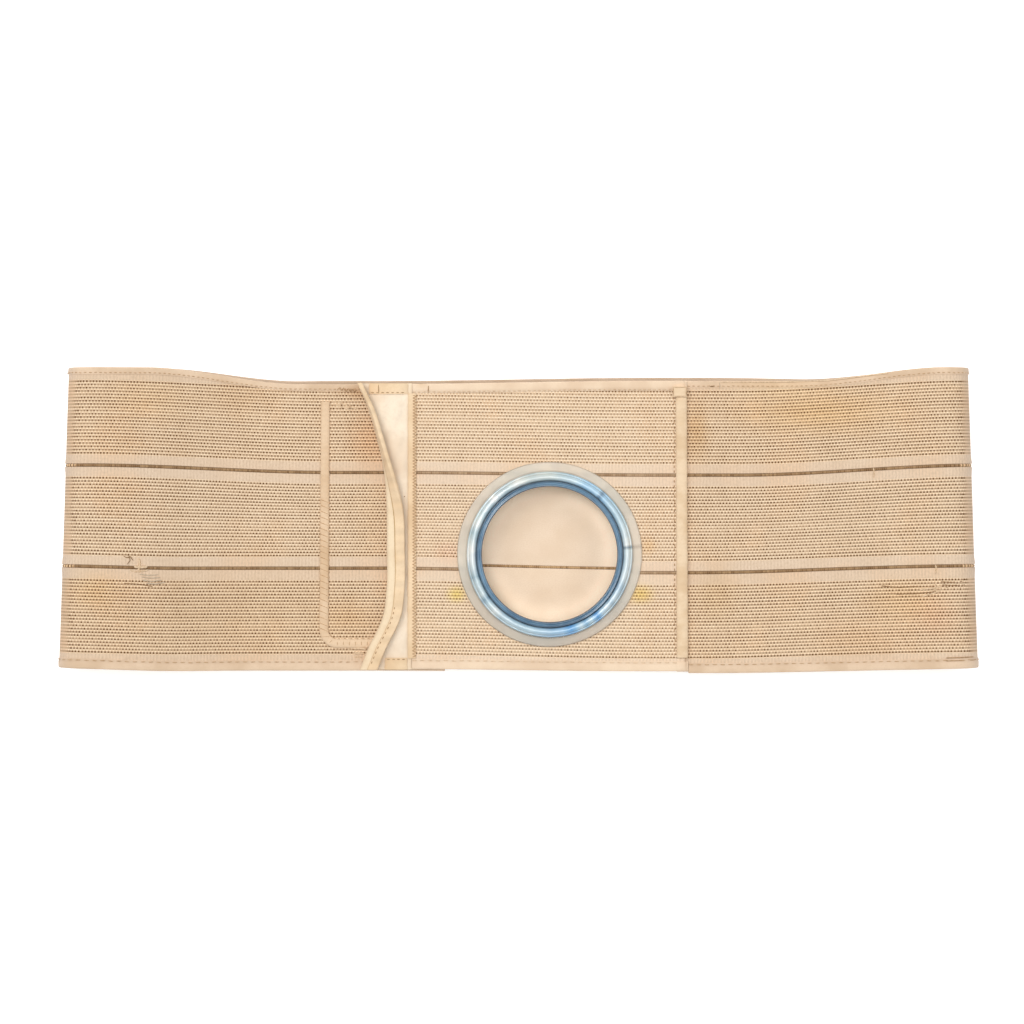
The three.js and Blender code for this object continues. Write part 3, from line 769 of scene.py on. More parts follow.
def band_sides(name, path, bottom, top, waves=True):
    """The heights of a band's points, its outer side, its weave coordinates, and its tint."""
    heights, rows = weave_rows(name, path.x, bottom, top)
    along = np.broadcast_to(path.u[:, None] / PITCH_ALONG, heights.shape)
    fold = smoothstep(np.abs(path.nx), 0.3, 0.8)[:, None]
    openness = np.broadcast_to(1 - (1 - OPEN_AT_FOLDS) * fold, heights.shape).copy()
    openness[:, [0, 1, -2, -1]] = 0
    edge = np.zeros(heights.shape[1])
    edge[[0, -1]] = -EDGE_ROUNDING
    relief = DIMPLE * dimples(along, rows, BANDS[name]["rows"]) * openness + edge[None]
    outer = place(path, heights, HALF + relief, waves)
    weave = np.stack([along, rows, openness], -1)
    return heights, outer, weave, stains_and_fold_shade(outer, path.nz[:, None], path.nx[:, None])


def lining_painted_light(points):
    """The inside of the wrap, lighter where the ring's opening shows it: painted light, strongest towards the
    opening's rim, which lifts the shade in that hollow.
    """
    away = np.linalg.norm(points[..., :2] - RING_CENTRE, axis=-1)
    # Painted light inside the ring's opening, most towards its rim
    painted_light_share = (1 - smoothstep(away, 36, 60)) * (0.6 + 2.2 * smoothstep(away, 22, 36))
    shown = painted_light_share[..., None] * np.array([0.18, 0.2, 0.22])
    return (1.02 + shown).reshape(-1, 3)


def wrap_band(name, material):
    path = wrap_path(WRAP_START, PITCH_ALONG / 2)
    bottom, top = band_edges(name)
    _, outer, weave, tint = band_sides(name, path, bottom, top)
    across = np.linspace(0, 1, INSIDE_COLUMNS)
    inner_heights = bottom + (top - bottom) * across
    rounded = np.where((across == 0) | (across == 1), EDGE_ROUNDING, 0)
    inner = place(path, inner_heights, rounded[None] - HALF)
    row = -6 - inner_heights[None] / PITCH_ACROSS
    inner_weave = np.stack(np.broadcast_arrays(path.u[:, None] / PITCH_ALONG, row, -1.0), -1)
    points, faces = shell_with_plain_inside(outer, inner)
    attributes = {
        "weave": np.concatenate([weave.reshape(-1, 3), inner_weave.reshape(-1, 3)]),
        "tint": np.concatenate([tint.reshape(-1, 3), lining_painted_light(inner)]),
    }
    thing = make_object(f"wrap_{name}_web", points, faces, material, "elastic_web", attributes)
    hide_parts(f"wrap_band_{name}")
    return thing, ((top - bottom) * MM, path.u[-1] * MM)


SLEEVE_GAP = 0.2


def panel_band(name, material):
    """A band of the ring panel, with the hole for the ring's sleeve in it."""
    path = level_path(PANEL_LEFT, PANEL_RIGHT, PANEL_LEVEL, PITCH_ALONG / 4)
    bottom, top = band_edges(name)
    bottom, top = max(bottom, PANEL_BOTTOM), min(top, PANEL_TOP)
    heights, outer, weave, tint = band_sides(name, path, bottom, top, waves=False)
    inner = place(path, heights, -HALF, False)
    edge = SLEEVE_RADIUS + SLEEVE_GAP
    for side in (outer, inner):
        away = side[..., :2] - RING_CENTRE
        distance = np.linalg.norm(away, axis=-1, keepdims=True)
        on_edge = RING_CENTRE + away * edge / np.maximum(distance, 1e-6)
        side[..., :2] = np.where(distance < edge, on_edge, side[..., :2])
    flat = place(path, heights, 0, False)
    radius = np.linalg.norm(flat[..., :2] - RING_CENTRE, axis=-1)
    near = edge - 0.6 * PITCH_ACROSS / RIBS_ACROSS
    clear = radius > near
    keep = clear[:-1, :-1] & clear[1:, :-1] & clear[1:, 1:] & clear[:-1, 1:]
    points, faces = sheet_shell(outer, inner, keep)
    inner_weave = weave * [1, 1, 0]
    attributes = {
        "weave": np.concatenate([weave.reshape(-1, 3), inner_weave.reshape(-1, 3)]),
        "tint": np.concatenate([tint.reshape(-1, 3), np.ones((inner.size // 3, 3))]),
    }
    thing = make_object(f"panel_{name}_web", points, faces, material, "panel_web", attributes)
    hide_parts(f"panel_band_{name}")
    cells = np.cross(flat[1:, :-1] - flat[:-1, :-1], flat[:-1, 1:] - flat[:-1, :-1])
    area = np.linalg.norm(cells, axis=-1)[keep].sum()
    width, length = (top - bottom) * MM, (PANEL_RIGHT - PANEL_LEFT) * MM
    return thing, (width, length), min(area * MM * MM, width * length)


# Seams: dark joining thread in the groove between two bands, whose lumps are the single stitches

SEAM_STEP = 0.42
SEAM_STITCH = 1.05
SEAM_HALF_WIDTH = 0.76
SEAM_HALF_THICKNESS = 0.5
FRAY = 2.3
PALER_FRAY = np.array([1.5, 1.85, 2.4])


def seam_section(at):
    w, t = SEAM_HALF_WIDTH, SEAM_HALF_THICKNESS
    flat = 0.6 * w
    return [(at - w, 0), (at - flat, t), (at + flat, t), (at + w, 0), (at + flat, -t), (at - flat, -t)]


def seam_strip(name, path, at, material, nodes, waves=True, hole=False):
    """The joining thread along a path. It frays into dashes where it goes round a fold."""
    section = np.array(seam_section(at))
    lump = 0.82 + 0.25 * np.abs(np.sin(math.pi * np.arange(len(path.u)) / 3))
    lump = lump * (1 + RANDOM.normal(0, 0.06, len(path.u)))
    thick = np.clip(lump, 0.6, 1.15)[:, None]
    points = place(path, section[:, 0], section[:, 1][None] * thick + 0.12 * (thick - 1), waves)
    side = (section[:, 0] - at)[None] / SEAM_HALF_WIDTH
    weave = np.stack(np.broadcast_arrays(path.u[:, None] / SEAM_STITCH, side, 0.0), -1)
    frayed = smoothstep(np.abs(path.nx), 0.3, 0.6) * (np.sin(2 * math.pi * path.u / FRAY) > 0.1)
    inside = (section[:, 1] < 0)[None, :, None]
    tint = (1 + frayed[:, None, None] * PALER_FRAY) * np.where(inside, 1.5, 1.0)
    runs = [slice(None)]
    if hole:
        radius = np.linalg.norm(points[..., :2] - RING_CENTRE, axis=-1).min(1)
        clear = np.flatnonzero(radius > SLEEVE_RADIUS + SLEEVE_GAP)
        jump = np.argmax(np.diff(clear))
        runs = [slice(None, clear[jump] + 1), slice(clear[jump + 1], None)]
    names = [name, f"{name}_beyond_ring"]
    made = []
    for piece_name, run, node in zip(names, runs, nodes):
        run_points, faces = swept(points[run])
        attributes = {"weave": weave[run], "tint": tint[run]}
        thing = make_object(piece_name, run_points, faces, material, "seam_thread", attributes)
        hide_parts(node)
        made.append(thing)
    return made


# Bindings

# How far a binding reaches in from the edge, how far in its stitches lie, and their pitch
WRAP_TOP_SEWING = (3.0, 2.1, 2.6)
PANEL_TOP_SEWING = (4.5, 3.9, 2.6)
BOTTOM_SEWING = (4.5, 3.7, 4.1)
STITCH_SHARE = 0.62
BINDING_TAPE = 0.62
# Painted shade on the back layer's binding, where it shows behind the front layer
BACK_EDGE_SHADE = np.array([0.80, 0.80, 0.82])


def folded_section(edge, inward, leg, half, thickness, lip=0.25, puff=0.1):
    """A tape folded over an edge, as (height, out) pairs: its outside round the rim, then its inside back."""
    inner = half + 0.12
    outer = half + thickness
    turns = np.linspace(math.pi / 2, -math.pi / 2, 9)
    reach = 0.15 + thickness
    rim = [(-reach * math.cos(a) ** 0.8 if abs(a) < 1.5 else 0.0, outer * math.sin(a)) for a in turns]
    side = [(leg, inner + lip), (leg * 0.86, outer - 0.08), (leg * 0.5, outer + puff), (leg * 0.15, outer)]
    outside = [*side, *rim, *[(h, -o) for h, o in reversed(side)]]
    inside = [(leg, -inner), (0.1, -inner), (0.02, 0), (0.1, inner), (leg, inner)]
    return np.array([(edge + inward * h, o) for h, o in [*outside, *inside]])


def binding(name, path, edge, inward, sewing, material, node, waves=True):
    """A folded binding whose lip is drawn in at each stitch, with its running stitches."""
    leg, stitch_at, pitch = sewing
    section = folded_section(edge, inward, leg, HALF, BINDING_TAPE)
    fine = path.resampled(pitch / 4)
    drawn = 0.5 - 0.5 * np.cos(2 * math.pi * fine.u / pitch)
    near = np.array([bump(abs(h - edge), stitch_at, 1.3) for h, _ in section])
    squeeze = (1 - 0.13 * near[None] * drawn[:, None]) * (1 - 0.16 * np.abs(fine.nx[:, None]) ** 3)
    ripple = 1 + 0.02 * np.sin(fine.u / 7.3)[:, None] + RANDOM.normal(0, 0.008, (len(fine.u), 1))
    points = place(fine, section[:, 0], section[:, 1][None] * squeeze * ripple, waves)
    # Painted shade on the binding's back, where it lies behind the front layer
    behind = ((fine.nz < -0.5)[:, None] & (section[:, 1] < 0.3)[None])[..., None]
    # Painted shade where the binding is creased along its stitch line
    crease_shade = np.array([bump(abs(h - edge), stitch_at, 0.55) for h, _ in section])[None, :, None]
    tint = stains_and_fold_shade(points, fine.nz[:, None], fine.nx[:, None])
    tint = tint * np.where(behind, BACK_EDGE_SHADE, 1) * (1 - 0.12 * crease_shade)
    thing = make_object(name, *swept(points), material, "edge_binding", {"tint": tint})
    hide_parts(node)
    return thing, [
        stitch_line(side, edge + inward * stitch_at, HALF + BINDING_TAPE, pitch, pitch * STITCH_SHARE, waves=waves)
        for side in (path, inverted(path))
    ]


# The end of a panel binding: where it starts and ends, how far down it goes to the wrap, and its section as
# (height, out) pairs, round its outside and back
BINDING_END = (PANEL_RIGHT - LAP - 0.15, PANEL_RIGHT + 1.8)
BINDING_FOOT = LAP_LEVEL + HALF - PANEL_LEVEL + 0.05
BINDING_END_SECTION = [
    (4.4, HALF + 0.37), (3.87, HALF + 0.54), (2.25, HALF + 0.72), (0.68, HALF + 0.62), (0, HALF + 0.62),
    (-0.4, HALF + 0.3), (-0.7, 0.6), (-0.77, 0), (-0.7, -0.5), (-0.55, BINDING_FOOT), (-0.05, BINDING_FOOT),
    (-0.04, 0), (-0.04, HALF + 0.12), (4.4, HALF + 0.12),
]


def binding_end(name, edge, inward):
    """The end of a panel binding, which goes on over the lap and slopes down to the wrap."""
    path = level_path(*BINDING_END, PANEL_LEVEL, 0.3)
    height, out = np.array(BINDING_END_SECTION).T
    slope = smoothstep(path.x, PANEL_RIGHT - 0.3, BINDING_END[1])[:, None]
    out = out[None] * np.ones((len(path.x), 1))
    low = BINDING_FOOT + 0.1
    beyond = (path.x > PANEL_RIGHT + 0.1)[:, None]
    down = np.where(beyond & (out > low), low + (out - BINDING_FOOT) * 0.45, out)
    points = place(path, edge + inward * height, out * (1 - slope) + down * slope, False)
    return make_object(name, *swept(points), panel_binding_finish, "edge_binding")


def inverted(path):
    """The same stations seen from the other side of the layer."""
    return Path(path.x, path.z, -path.nx, -path.nz)


# The plastic ring

RING_SIDES = 360
LIP_REACH = 6
SLEEVE_WALL = 2
liner_low, liner_high = node_box("ring_liner")
SLEEVE_RADIUS = liner_high[0] - RING_CENTRE[0] - LIP_REACH
OPENING_RADIUS = SLEEVE_RADIUS - SLEEVE_WALL
LINER_RADIUS = SLEEVE_RADIUS + 0.9
BEAD_INNER = LINER_RADIUS + 0.2
BEAD_OUTER = BEAD_INNER + 4.7
FLANGE_BOTTOM = ring_low[2]
FLANGE_TOP = ring_high[2]

# Marks, painted glints and painted reflections in the bead round its turn, from the right and anticlockwise: the angle
# in degrees, what each does to the bead's red, green and blue, and the painted light and shade it puts on the flange
RING_MARKS_AND_GLINTS = [
    (-12, (0.96, 1.0, 1.02), 1.0),
    (3, (0.98, 1.0, 1.0), 1.02),
    (5, (0.5, 0.56, 0.6), 0.7),
    (7, (1.06, 1.04, 1.02), 1.04),
    (22, (0.88, 0.95, 0.98), 1.0),
    (40, (0.82, 0.93, 1.0), 0.98),
    (46, (0.7, 0.88, 1.02), 0.96),
    (49, (0.42, 0.55, 0.68), 0.86),
    (52, (0.78, 0.93, 1.04), 0.97),
    (62, (0.72, 0.9, 1.04), 1.0),
    (72, (0.86, 0.95, 1.0), 1.02),
    (90, (0.9, 0.92, 0.9), 1.05),
    (108, (1.0, 0.99, 0.95), 1.05),
    (115, (1.1, 1.06, 1.02), 1.02),
    (120, (0.88, 0.92, 0.92), 0.98),
    (131, (0.96, 0.98, 0.98), 0.98),
    (135, (1.12, 1.08, 1.05), 1.02),
    (140, (0.84, 0.9, 0.93), 0.96),
    (152, (0.95, 1.0, 1.0), 0.98),
    (158, (1.1, 1.07, 1.04), 0.98),
    (164, (0.8, 0.88, 0.9), 0.95),
    (176, (1.06, 1.04, 1.02), 1.05),
    (184, (1.1, 1.07, 1.05), 1.08),
    (190, (0.92, 0.95, 0.96), 1.02),
    (197, (0.62, 0.72, 0.78), 0.95),
    (201, (0.86, 0.92, 0.94), 0.94),
    (211, (0.9, 0.94, 0.95), 0.92),
    (215, (0.6, 0.72, 0.8), 0.9),
    (219, (0.84, 0.92, 0.96), 0.92),
    (226, (1.08, 1.06, 1.04), 0.93),
    (232, (0.82, 0.9, 0.95), 0.92),
    (250, (0.84, 0.93, 0.98), 0.9),
    (268, (0.78, 0.9, 1.0), 0.9),
    (280, (0.7, 0.87, 1.02), 0.91),
    (286, (0.42, 0.7, 0.98), 0.9),
    (290, (0.62, 0.84, 1.02), 0.9),
    (294, (0.88, 0.96, 1.0), 0.92),
    (298, (0.6, 0.8, 0.96), 0.92),
    (302, (0.86, 0.95, 1.0), 0.92),
    (308, (0.38, 0.68, 0.98), 0.92),
    (312, (0.84, 0.94, 1.02), 0.94),
    (318, (0.9, 0.95, 0.98), 0.95),
    (322, (0.72, 0.82, 0.9), 0.95),
    (326, (0.92, 0.97, 1.0), 0.97),
    (334, (0.74, 0.84, 0.92), 0.97),
    (340, (0.94, 0.98, 1.0), 0.98),
    (348, (0.96, 1.0, 1.02), 1.0),
]
BEAD_CONTRAST = 1.7
BEAD_TONE = 0.93


def ring_marks_and_glints(turns):
    """The bead's tint of marks, painted glints and painted reflections, and the flange's painted light, at angles in
    degrees.
    """
    at, bead, flange = (np.array(column) for column in zip(*RING_MARKS_AND_GLINTS))
    turns = (turns - at[0]) % 360 + at[0]
    bead = [np.interp(turns, at, channel) for channel in bead.T]
    return BEAD_TONE * np.stack(bead, -1) ** BEAD_CONTRAST, np.interp(turns, at, flange)


def bead_tint(turns, profile):
    """The marks, painted glints and painted reflections, with a darker blue line where the bead meets the liner and a
    grey one by the flange.
    """
    marks, _ = ring_marks_and_glints(turns)
    radius = profile[:, 0]
    inner = bump(radius, BEAD_INNER, 1.3)[None, :, None] * np.array([0.42, 0.3, 0.2])
    outer = bump(radius, BEAD_OUTER, 0.9)[None, :, None] * np.array([0.34, 0.28, 0.25])
    return marks[:, None] * (1 - inner) * (1 - outer)


def flange_tint(turns, profile):
    _, light = ring_marks_and_glints(turns)
    near_bead = bump(profile[:, 0], BEAD_OUTER + 0.45, 0.5)[None, :] * 0.35
    # Painted light and shade: the flange lighter on its upper half and darker on its lower half
    rise = np.sin(np.radians(turns))[:, None]
    lit = 1 + 0.05 * np.clip(rise, 0, 1) - 0.14 * np.clip(-rise, 0, 1)
    # Painted contact shadow round the flange's outer rim
    rim_shadow = bump(profile[:, 0], FLANGE_OUTER - 0.1, 0.6)[None, :] * 0.34
    tone = np.sin(np.radians(turns) * 5 + 1)[:, None, None] * np.array([0.02, -0.01, -0.03])
    shade = light[:, None] * lit * (1 - near_bead) * (1 - rim_shadow)
    return shade[..., None] * (np.array([0.985, 0.965, 0.94]) + tone)


def turned(name, profile, material, slot, node, tint=None, wobble=0.0):
    """A ring turned from (radius, z) pairs."""
    profile = np.asarray(profile, float)
    angles = np.linspace(0, 2 * math.pi, RING_SIDES, endpoint=False)
    radius, z = profile[:, 0][None], profile[:, 1][None]
    waves = np.sin(3 * angles + 1) + 0.6 * np.sin(7 * angles) + 0.4 * np.sin(13 * angles + 2)
    uneven = wobble * waves[:, None]
    cos, sin = np.cos(angles)[:, None], np.sin(angles)[:, None]
    r = radius + uneven
    points = np.stack([RING_CENTRE[0] + r * cos, RING_CENTRE[1] + r * sin, np.broadcast_to(z, r.shape)], -1)
    tints = np.ones(points.shape) if tint is None else tint(np.degrees(angles), profile)
    thing = make_object(name, *swept(points, capped=False), material, slot, {"tint": tints}, sharp=60)
    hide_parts(node)
    return thing


def arc(centre, radius, start, end, count):
    """Points on an arc of a profile, from one angle to another in degrees."""
    angles = np.radians(np.linspace(start, end, count))
    return [(centre[0] + radius[0] * math.cos(a), centre[1] + radius[1] * math.sin(a)) for a in angles]


def make_ring():
    inner, low, high = SLEEVE_RADIUS + 0.2, FLANGE_BOTTOM, FLANGE_TOP
    round_edge = arc((FLANGE_OUTER - 0.55, high - 0.55), (0.55, 0.55), 0, 90, 6)
    groove = [(BEAD_OUTER + 0.9, high), (BEAD_OUTER + 0.45, high - 0.12), (BEAD_OUTER + 0.1, high)]
    under = [(inner, low), (FLANGE_OUTER - 0.15, low), (FLANGE_OUTER, low + 0.2)]
    flange = [*under, *round_edge, *groove, (inner, high)]
    turned("ring_flange_clear", flange, flange_finish, "ring_clear", "ring_flange", flange_tint, 0.06)

    seat, rim = high + 0.2, 0.65
    half = (BEAD_OUTER - BEAD_INNER) / 2 - rim * 0.8
    arch_z = seat + 4.2 - half
    foot = [(BEAD_INNER + 0.3, seat), (BEAD_OUTER - 0.3, seat), (BEAD_OUTER, seat + 0.3)]
    outer_lobe = arc((BEAD_OUTER - rim, seat + 1.6), (rim, rim), 0, 130, 7)
    arch = arc((BEAD_INNER + half, arch_z), (half, half), 12, 180, 15)
    bead = [*foot, *outer_lobe, *arch, (BEAD_INNER, seat + 0.3)]
    turned("ring_bead_clear", bead, bead_finish, "ring_bead_clear", "ring_bead", bead_tint, 0.03)

    rear_low, top = liner_low[2], liner_high[2]
    rear_high = rear_low + 1.2
    lip_outer = SLEEVE_RADIUS + LIP_REACH
    crown = [
        (LINER_RADIUS, top - 0.6),
        *arc((LINER_RADIUS - 0.6, top - 0.6), (0.6, 0.6), 20, 90, 4),
        (LINER_RADIUS - 1.15, top - 0.35),
        (LINER_RADIUS - 1.35, top - 0.42),
        (LINER_RADIUS - 1.55, top - 0.3),
        *arc((OPENING_RADIUS + 0.55, top - 0.6), (0.55, 0.6), 90, 170, 4),
        (OPENING_RADIUS, top - 1.1),
    ]
    liner = [
        (OPENING_RADIUS, rear_low + 0.3), (OPENING_RADIUS + 0.3, rear_low), (lip_outer - 0.3, rear_low),
        (lip_outer, rear_low + 0.4), (lip_outer - 0.3, rear_high), (SLEEVE_RADIUS, rear_high),
        (SLEEVE_RADIUS, seat), (LINER_RADIUS, seat), *crown,
    ]

    def liner_tint(turns, profile):
        """Two dark lines with a lighter one between, as light and shade on the moulded lip make them."""
        radius = profile[:, 0]
        lighter = 1 + 0.35 * bump(radius, LINER_RADIUS - 1.35, 0.55)
        outer_line = bump(radius, LINER_RADIUS - 0.35, 0.6)
        inner_line = bump(radius, OPENING_RADIUS + 0.2, 0.5)
        darker = 1 - 0.4 * outer_line - 0.45 * inner_line
        shade = 1 + 0.12 * np.sin(np.radians(turns) * 2 + 0.7)
        return np.repeat((shade[:, None] * (lighter * darker)[None])[..., None], 3, -1)

    turned("ring_liner_blue", liner, liner_finish, "ring_blue", "ring_liner", liner_tint)


# The closure tab

TAB_LENGTH = 29.2
TAB = 1.2
ROLL_RADIUS = 1.9
TAB_TAPE = 0.6
TAB_TAPE_LEG = 4.6
TAB_RUN = 1.6 + TAB_TAPE_LEG
TAB_EDGE = [
    {"at": 0, "reach": 0.92, "turn": 0.97},
    {"at": 0.068, "reach": 0.775, "turn": 0.98},
    {"at": 0.173, "reach": 0.52, "turn": 1},
    {"at": 0.278, "reach": 0.447, "turn": 1},
    {"at": 0.404, "reach": 0.447, "turn": 1},
    {"at": 0.522, "reach": 0.452, "turn": 0.95},
    {"at": 0.621, "reach": 0.472, "turn": 0.76},
    {"at": 0.712, "reach": 0.533, "turn": 0.64},
    {"at": 0.805, "reach": 0.642, "turn": 0.6},
    {"at": 0.899, "reach": 0.775, "turn": 0.58},
    {"at": 1, "reach": 0.98, "turn": 0.54},
]


def smooth_table(rows, key, at):
    """A column of a table as a smooth curve through its rows."""
    x = np.array([row["at"] for row in rows])
    y = np.array([row[key] for row in rows])
    slope = np.gradient(y, x)
    i = np.clip(np.searchsorted(x, at) - 1, 0, len(x) - 2)
    step = x[i + 1] - x[i]
    t = (at - x[i]) / step
    first, last = y[i] * (1 + 2 * t) * (1 - t) ** 2, y[i + 1] * t * t * (3 - 2 * t)
    return first + last + step * t * (1 - t) * (slope[i] * (1 - t) - slope[i + 1] * t)


class TabRows:
    """Sections across the tab at many heights: its flat part, how far it rolls, and its length."""

    def __init__(self, at):
        reach, turn = smooth_table(TAB_EDGE, "reach", at), smooth_table(TAB_EDGE, "turn", at)
        self.flat = TAB_LENGTH * reach - GAP - TAB / 2 - ROLL_RADIUS
        self.angle = math.pi * turn
        self.height = (PANEL_BOTTOM - BOUND) * (1 - at) + (PANEL_TOP + BOUND) * at
        self.end = self.flat + ROLL_RADIUS * self.angle + TAB_RUN

    def point(self, along, out):
        """Points at lengths from the panel along each section, rows by columns."""
        flat, angle, end = self.flat[:, None], self.angle[:, None], self.end[:, None]
        bend = np.clip((along - flat) / ROLL_RADIUS, 0, angle)
        sin, cos = np.sin(bend), np.cos(bend)
        past = np.maximum(0, along - (end - TAB_RUN))
        x = PANEL_LEFT - GAP - np.minimum(along, flat) - ROLL_RADIUS * sin - past * cos
        z = PANEL_LEVEL + ROLL_RADIUS * (1 - cos) + past * sin
        height = np.broadcast_to(self.height[:, None], x.shape)
        share = x / HALF_WIDTH
        points = [x - taper(height, share) + sin * out, y_at(height, share), z + cos * out]
        return np.stack(np.broadcast_arrays(*points), -1)


def make_tab():
    rows = TabRows(np.linspace(0, 1, 190))
    flat_part = np.linspace(0, 1, 26)[None] * rows.flat[:, None]
    rolled = rows.flat[:, None] + np.linspace(0, 1, 19)[None, 1:] * (ROLL_RADIUS * rows.angle)[:, None]
    straight = (rows.end - TAB_RUN)[:, None] + np.linspace(0, 1, 9)[None, 1:] * TAB_RUN
    along = np.concatenate([flat_part, rolled, straight], 1)
    y = rows.height[:, None] / BELT_HEIGHT
    near_joint = smoothstep(along, 0, 3)
    slow_puffs = 0.2 * np.sin(along * 0.9 + 5 * np.sin(y * 9)) * np.sin(y * 23 + 1)
    puffs = slow_puffs + 0.13 * np.sin(y * 47 + along * 0.4)
    outer = rows.point(along, TAB / 2 + near_joint * puffs)
    inner = rows.point(along, -TAB / 2 + 0 * along)
    rolled_share = smoothstep(along - rows.flat[:, None], -1.5, 1.0)
    # Painted shade where the tab's cloth is softly creased
    crease_shading = 1 - 0.05 * np.maximum(0, np.sin(along * 0.8 + 4 * np.sin(y * 7)) * np.sin(y * 31 + 2))
    in_shadow = 1 - 0.12 * bump(along, rows.flat[:, None] + 0 * along, 4.0)
    under_strip = 1 - smoothstep(along, 2.0, 2.8)
    yellowed = 1 - under_strip[..., None] * np.array([0.05, 0.09, 0.15])
    tint_outer = (crease_shading * in_shadow)[..., None] * yellowed
    tint_inner = 1 - rolled_share[..., None] * np.array([0.03, 0.09, 0.2])
    tint = {"tint": np.concatenate([tint_outer.reshape(-1, 3), tint_inner.reshape(-1, 3)])}
    thing = make_object("closure_tab_cloth", *sheet_shell(outer, inner), facing_finish, "tab_facing", tint)
    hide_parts("closure_tab")
    width, length = rows.end.max(), PANEL_TOP - PANEL_BOTTOM
    area = ((rows.end[1:] + rows.end[:-1]) / 2 * np.diff(rows.height)).sum()
    on_tab = [*make_tab_edge(), *make_tab_trim()]
    flat, area = (width * MM, length * MM), min(area, width * length) * MM * MM


def make_tab_edge():
    """The tape that binds the tab's rolled edge, and its stitches."""
    half = TAB / 2
    section = folded_section(0, -1, TAB_TAPE_LEG, half, TAB_TAPE, lip=0.2, puff=0.05)
    fine = TabRows(np.linspace(0, 1, 260))
    drawn = 0.5 - 0.5 * np.cos(2 * math.pi * fine.height / 3.4)
    squeeze = 1 - 0.1 * drawn[:, None] * np.array([bump(-h, 3.6, 1.4) for h, _ in section])[None]
    points = fine.point(fine.end[:, None] + section[:, 0][None], section[:, 1][None] * squeeze)
    # Painted shade: the tape darker and browner along its lip, where it is creased over the roll, most in the middle
    # of its height
    lip = np.array([bump(-h, TAB_TAPE_LEG, 0.5) for h, _ in section])[None]
    middle = bump(fine.height / BELT_HEIGHT, 0.5, 0.42)[:, None]
    marks = 1 + 0.06 * np.sin(fine.height * 0.9)[:, None] * np.sin(fine.height * 0.23 + 1)[:, None]
    tint = marks[..., None] * (1 - (lip * (0.28 + 0.45 * middle))[..., None] * np.array([0.8, 1.0, 1.3]))
    tape = make_object("closure_tab_tape", *swept(points), tape_finish, "binding_tape", {"tint": tint})
    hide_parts("closure_tab_binding")

    rows = [*np.linspace(0.02, 0.2, 12), *np.linspace(0.24, 0.97, 30)]
    parts = []
    for side, chosen in ((1, rows), (-1, rows[:12])):
        start_rows, stop_rows = TabRows(np.array(chosen)), TabRows(np.array(chosen) + 0.008)
        start = start_rows.point((start_rows.end - 3.6)[:, None], side * (half + TAB_TAPE))[:, 0]
        stop = stop_rows.point((stop_rows.end - 3.6)[:, None], side * (half + TAB_TAPE))[:, 0]
        nearer = start_rows.point((start_rows.end - 3.6)[:, None], side * (half + TAB_TAPE + 1))[:, 0]
        parts.append(thread_parts(start, stop, nearer - start, 0.2, 0.16))
    return [tape, make_threads("closure_tab_stitches", parts, dark_stitch_finish)]


def flat_strip(x, bottom, top, low, high, edge_wave=0.0, round_share=0.35):
    """A strip across the panel between two x, from one height to another, with rounded edges."""
    heights = np.linspace(bottom, top, max(4, round((top - bottom) / 0.8)))
    thick = high - low
    left, right = x
    width = right - left
    profile = [
        (0, 0), (width, 0), (width, thick * 0.55), (width - round_share * thick, thick * 0.9),
        (width * 0.72, thick), (width * 0.28, thick), (round_share * thick, thick * 0.9), (0, thick * 0.55),
    ]
    wave = edge_wave * np.sin(heights * 1.7) + edge_wave * 0.6 * np.sin(heights * 0.63 + 1)
    sides = [np.where(across > width / 2, wave, -wave) for across, _ in profile]
    points = [
        panel_point(left + across + side, heights, low + out) for (across, out), side in zip(profile, sides)
    ]
    return swept(np.stack(points, 1))


def panel_point(x, height, z):
    """Points on the panel or beside it, by x, height on the belt and z."""
    x, height, z = (np.asarray(part, float) for part in (x, height, z))
    share = x / HALF_WIDTH
    return np.stack(np.broadcast_arrays(x - taper(height, share), y_at(height, share), z), -1)


def panel_stitches(xs, heights, z, radius=0.2, lift=0.2):
    """Stitches lying flat on the panel, from and to points given as x and height."""
    start, stop = (panel_point(x, height, z) for x, height in zip(xs, heights))
    return thread_parts(start, stop, np.broadcast_to([0, 0, 1], start.shape), radius, lift)


# Short dark marks: the seam across the top hem, a stain on the tab, and a tack beside the joint. Each lies on
# the lower, 0, or the upper, 1, face of a node.
TAB_MARKS = [
    {"x": (-72.5, -72.7), "height": (PANEL_TOP - 4.6, PANEL_TOP + 0.4), "on": "tab_hem_top", "face": 1},
    {"x": (-59.3, -58.7), "height": (90.6, 90.3), "on": "tab_hem_top", "face": 0},
    {"x": (-46.8, -46.6), "height": (PANEL_TOP - 4.4, PANEL_TOP - 0.4), "on": "panel_binding_top", "face": 1},
]


ZIGZAG_PITCH = 1.7
HEM_STITCH_PITCH = 2.6
HEM_HEIGHT = 6


